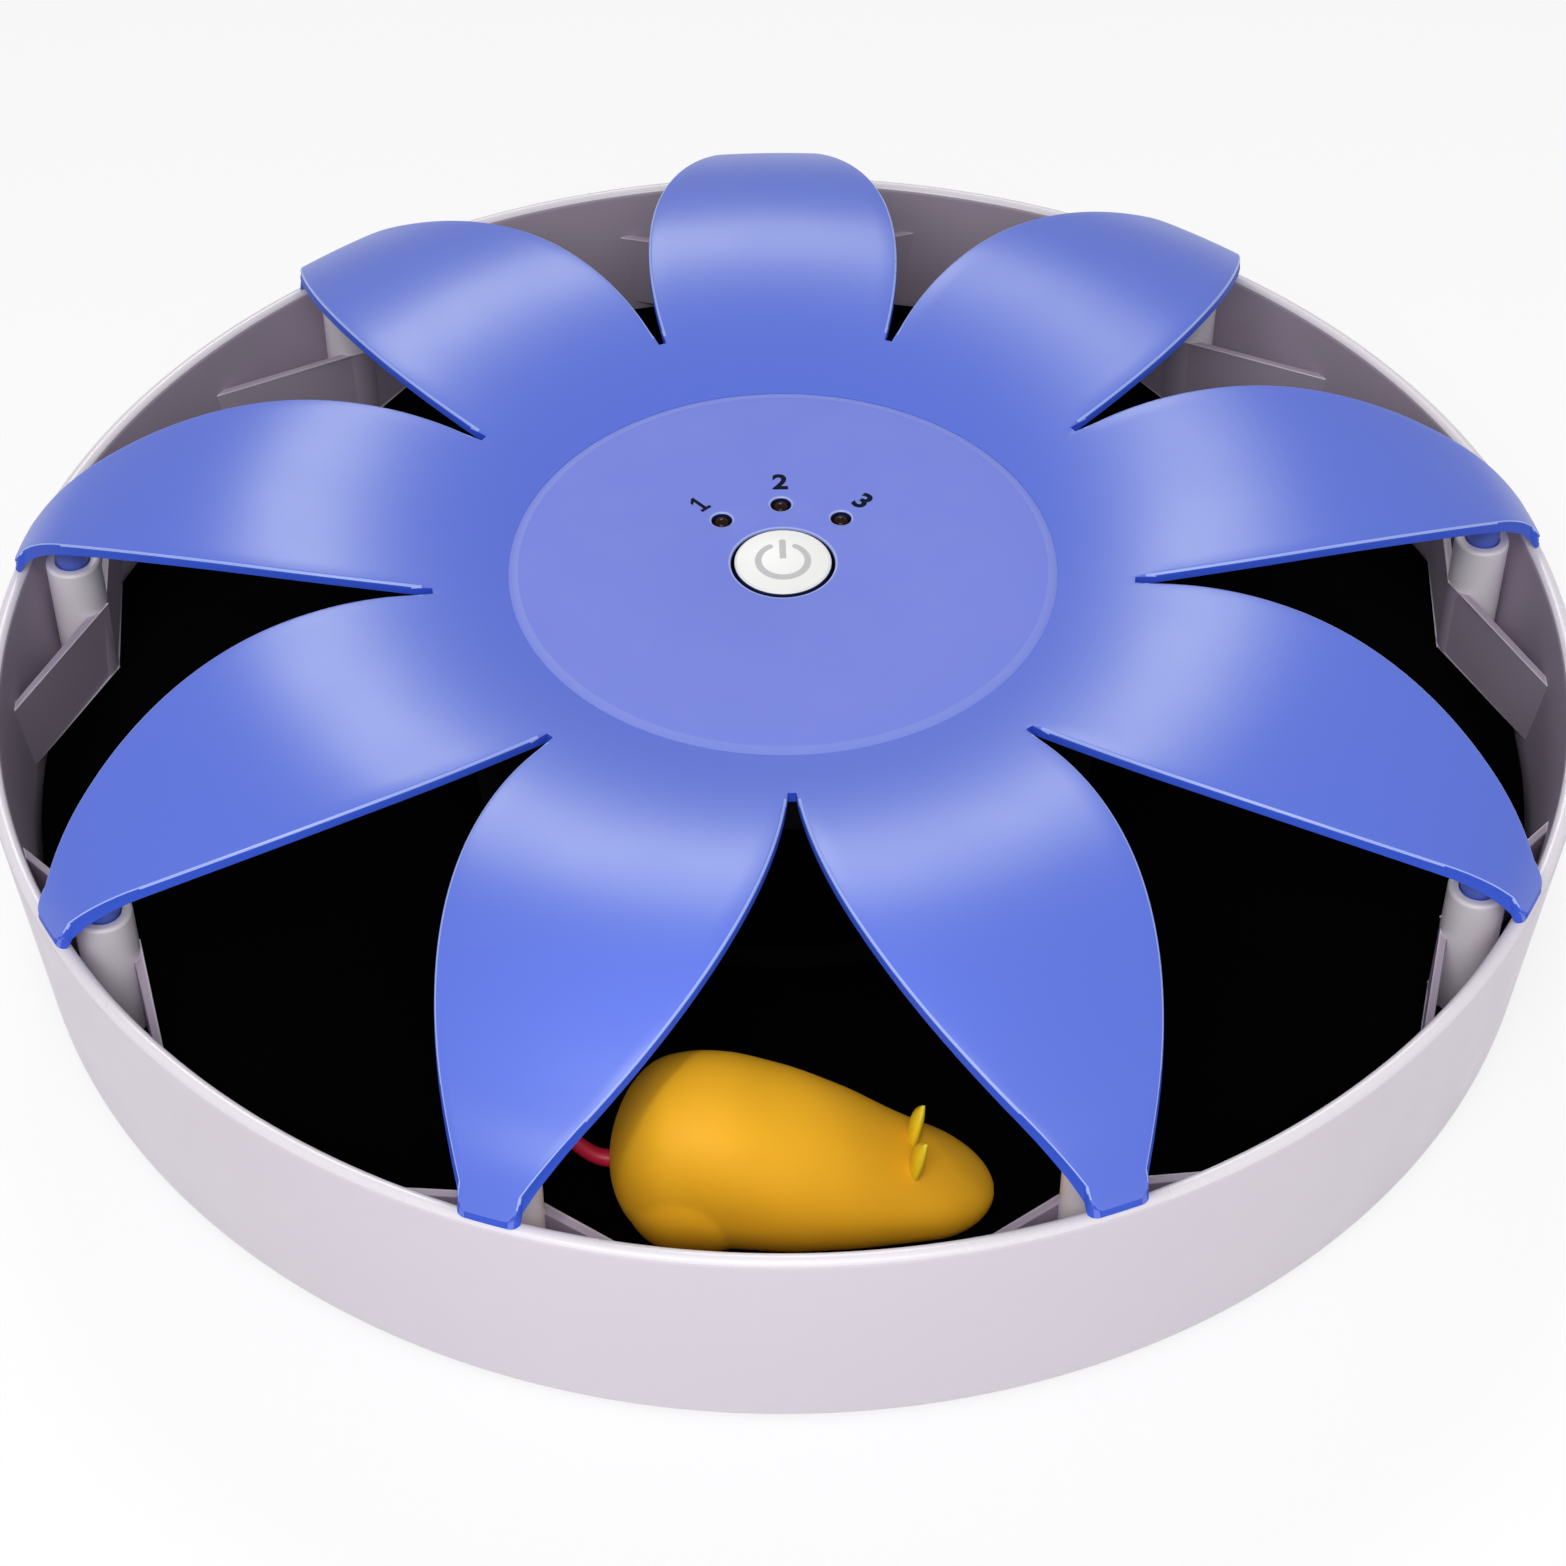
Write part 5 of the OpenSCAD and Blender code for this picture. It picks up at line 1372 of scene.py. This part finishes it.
    def tail_path(self) -> list[Vector]:
        """Gives a smooth curve through the points of the tail's route.

        Returns:
            Its points from the root to the end.
        """
        steps = 8
        route = [Vector(p) for p in (self.TAIL[0], *self.TAIL, self.TAIL[-1])]
        path: list[Vector] = []
        for a, b, c, d in zip(route, route[1:], route[2:], route[3:]):
            for t in (k / steps for k in range(steps)):
                square, cube = 2.0 * a - 5.0 * b + 4.0 * c - d, 3.0 * b - a - 3.0 * c + d
                path.append(0.5 * (2.0 * b + (c - a) * t + square * t**2 + cube * t**3))
        return [*path, route[-1]]

    def tail(self) -> Rings:
        """Gives the rings of the stiff tapered tail along its route.

        Returns:
            The rings from root to end.
        """
        blunt, sides = 0.05, 24
        path = self.tail_path()
        last = len(path) - 1
        root = Vector((self.tail_at[0] - self.length / 2.0, 0.0, self.tail_at[1] * self.tall))
        rings = []
        for i, p in enumerate(path):
            along = (path[min(last, i + 1)] - path[max(0, i - 1)]).normalized()
            side = along.cross(Vector((0.0, 0.0, 1.0))).normalized()
            up = side.cross(along)
            r = self.tail_d / 2.0 * (1.0 - self.tail_taper * i / last)
            over = max(0.0, 1.0 - (1.0 - i / last) / self.tail_round)
            r *= sqrt(max(blunt, 1.0 - over**2))
            unit = circle(1.0, 0.0, sides)
            rings.append([tuple(root + p + (side * c + up * s) * r) for c, s, _ in unit])
        return rings

    def build(self) -> None:
        """Builds body, ears and tail over their CAD nodes."""
        self.body()
        piece = self.part([self.ear(-1.0), self.ear(1.0)], "mouse_ear_leaves", EAR_VINYL, "ear_vinyl")
        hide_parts("mouse_ears")
        piece = self.part([self.tail()], "mouse_tail_tube", TAIL_VINYL, "tail_vinyl")
        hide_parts("mouse_tail")


@dataclass
class Mechanism:
    """CAD nodes that keep their own shape and get a finish, with rounded edges where they show."""

    nodes: dict[str, bpy.types.Object]

    FINISHES = {
        WHITE_ABS: ("base_pan", "battery_door"),
        FOOT_RUBBER: ("rubber_feet",),
        ZINC_STEEL: (
            "pan_screws", "hub_screws", "door_screw", "bracket_screws", "board_screws", "ring_gear_screws",
            "mouse_screws",
        ),
        TRACK_ABS: ("hub_housing", "turntable"),
        BLACK_ABS: ("motor_bracket", "push_switch", "switch_plunger"),
        CELL_JACKET: ("battery_cells",),
        NICKEL_STEEL: ("battery_contacts", "motor_can", "output_shaft"),
        STAMPED_BRASS: ("gearbox",),
        ACETAL: ("glide_ring", "drive_pinion"),
        BLACK_ACETAL: ("ring_gear",),
        GREEN_BOARD: ("circuit_board",),
    }
    # Width of the rounding in millimetres
    ROUNDED = {
        "base_pan": 0.25, "battery_door": 0.25, "rubber_feet": 0.3, "turntable": 0.3,
        "hub_housing": 0.3,
    }

    def dress(self) -> None:
        """Gives each node its finish, and rounds the edges of those that show."""
        for finish, names in self.FINISHES.items():
            for name in names:
                slots = self.nodes[name].data.materials
                slots.clear()
                slots.append(finish.material())
                LOG.info("node %s: %s", name, finish.name)
        for name, width in self.ROUNDED.items():
            soften(self.nodes[name], width, weld=True, steps=2)


@dataclass(frozen=True)
class Softbox:
    """A lamp: its place, the point that it faces and its sides in millimetres, watts and beam in degrees."""

    name: str
    at: Point
    aim: Point
    size: Flat
    power: float
    spread: float = 180.0

    def hang(self) -> None:
        """Adds the lamp, which the camera doesn't see."""
        light = bpy.data.lights.new(self.name, "AREA")
        light.spread = radians(self.spread)
        light.shape = "RECTANGLE"
        light.size = self.size[0] * MM
        light.size_y = self.size[1] * MM
        light.energy = self.power
        lamp = put(self.name, light)
        lamp.location = Vector(self.at) * MM
        lamp.rotation_euler = (Vector(self.aim) - Vector(self.at)).to_track_quat("-Z", "Y").to_euler()
        lamp.visible_camera = False


@dataclass
class Studio:
    """Pale floor, soft light and the photograph's camera."""

    eye: Point = (-9.78, -406.12, 406.44)
    pitch_down: float = 44.6
    turn: float = -1.38
    lens: float = 79.65
    floor_half: float = 6000.0
    paper: str = "#e6e6e8"
    shaded: str = "#8c8c8e"
    glow: float = 0.74
    room: float = 0.48
    fade: Flat = (0.7, 3.0)

    LAMPS = (
        Softbox("back_softbox", (0.0, 815.0, 830.0), (75.0, -190.0, 55.0), (700.0, 460.0), 0.24, 25.0),
        Softbox("front_softbox", (-120.0, -860.0, 1000.0), (0.0, 0.0, 40.0), (900.0, 500.0), 8.1),
        Softbox("front_strip", (0.0, -1300.0, 46.0), (0.0, 0.0, 40.0), (1500.0, 80.0), 0.95),
        Softbox("mouse_accent", (-8.0, -250.0, 700.0), (-11.0, -98.0, 38.0), (60.0, 40.0), 0.0018, 4.6),
    )

    def paper_sweep(self) -> bpy.types.Material:
        """Makes the floor's material, seen as nearly white paper that fades to the level of the room.

        Returns:
            The material.
        """
        made = bpy.data.materials.new("paper_white_sweep")
        made.use_nodes = True
        tree = made.node_tree
        tree.nodes.clear()
        rays = ("Is Camera Ray", "Is Glossy Ray", "Is Transmission Ray")
        camera, glossy, through = [add_node(tree, "ShaderNodeLightPath", out=ray) for ray in rays]
        direct = add_node(tree, "ShaderNodeMath", links={0: camera, 1: glossy}, operation="MAXIMUM")
        seen = add_node(tree, "ShaderNodeMath", links={0: direct, 1: through}, operation="MAXIMUM")
        paper, shaded = [
            add_node(tree, "ShaderNodeBsdfDiffuse", {"Color": linear(code)})
            for code in (self.paper, self.shaded)
        ]
        glow, haze = [
            add_node(tree, "ShaderNodeEmission", {"Color": WHITE, "Strength": level})
            for level in (self.glow, self.room)
        ]
        near = add_node(tree, "ShaderNodeAddShader", links={0: shaded, 1: glow})
        place = add_node(tree, "ShaderNodeTexCoord", out="Object")
        away = add_node(tree, "ShaderNodeVectorMath", links={0: place}, out="Value", operation="LENGTH")
        ends = {"From Min": self.fade[0], "From Max": self.fade[1]}
        far = add_node(tree, "ShaderNodeMapRange", ends, {"Value": away}, interpolation_type="SMOOTHSTEP")
        sweep = add_node(tree, "ShaderNodeMixShader", links={0: far, 1: near, 2: haze})
        whole = add_node(tree, "ShaderNodeMixShader", links={0: seen, 1: paper, 2: sweep})
        add_node(tree, "ShaderNodeOutputMaterial", links={"Surface": whole})
        return made

    def floor(self) -> None:
        """Lays the pale floor, which keeps the toy's soft shadow."""
        half = self.floor_half * MM
        mesh = bpy.data.meshes.new("studio_floor")
        corners = [(-half, -half, 0.0), (half, -half, 0.0), (half, half, 0.0), (-half, half, 0.0)]
        mesh.from_pydata(corners, [], [(0, 1, 2, 3)])
        mesh.materials.append(self.paper_sweep())
        floor = put("studio_floor", mesh)

    def sky(self) -> None:
        """Fills the room with even soft light."""
        world = bpy.data.worlds.new("studio_room")
        bpy.context.scene.world = world
        world.use_nodes = True
        tree = world.node_tree
        tree.nodes.clear()
        room = add_node(tree, "ShaderNodeBackground", {"Color": WHITE, "Strength": self.room})
        add_node(tree, "ShaderNodeOutputWorld", links={"Surface": room})

    def camera(self) -> None:
        """Sets the camera where the photograph was taken from."""
        data = bpy.data.cameras.new("photo_camera")
        data.sensor_width = 36.0
        data.lens = self.lens
        data.clip_start = 0.01
        data.clip_end = 20.0
        camera = put("photo_camera", data)
        camera.location = Vector(self.eye) * MM
        camera.rotation_euler = (radians(90.0 - self.pitch_down), 0.0, radians(self.turn))
        bpy.context.scene.camera = camera

    def build(self) -> None:
        """Builds floor, room, lamps and camera."""
        bpy.context.scene.view_settings.view_transform = "Standard"
        self.floor()
        self.sky()
        for lamp in self.LAMPS:
            lamp.hang()
        self.camera()


def main() -> None:
    """Builds the toy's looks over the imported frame, part by part."""
    logging.basicConfig(level=logging.INFO, format="%(message)s")
    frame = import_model()
    parts = (Bowl(), FlowerCover(), ControlPanel(), Mouse())
    for part in parts:
        part.build()
    Mechanism(frame["nodes"]).dress()
    Studio().build()
    bpy.context.view_layer.update()


if __name__ == "__main__":
    main()
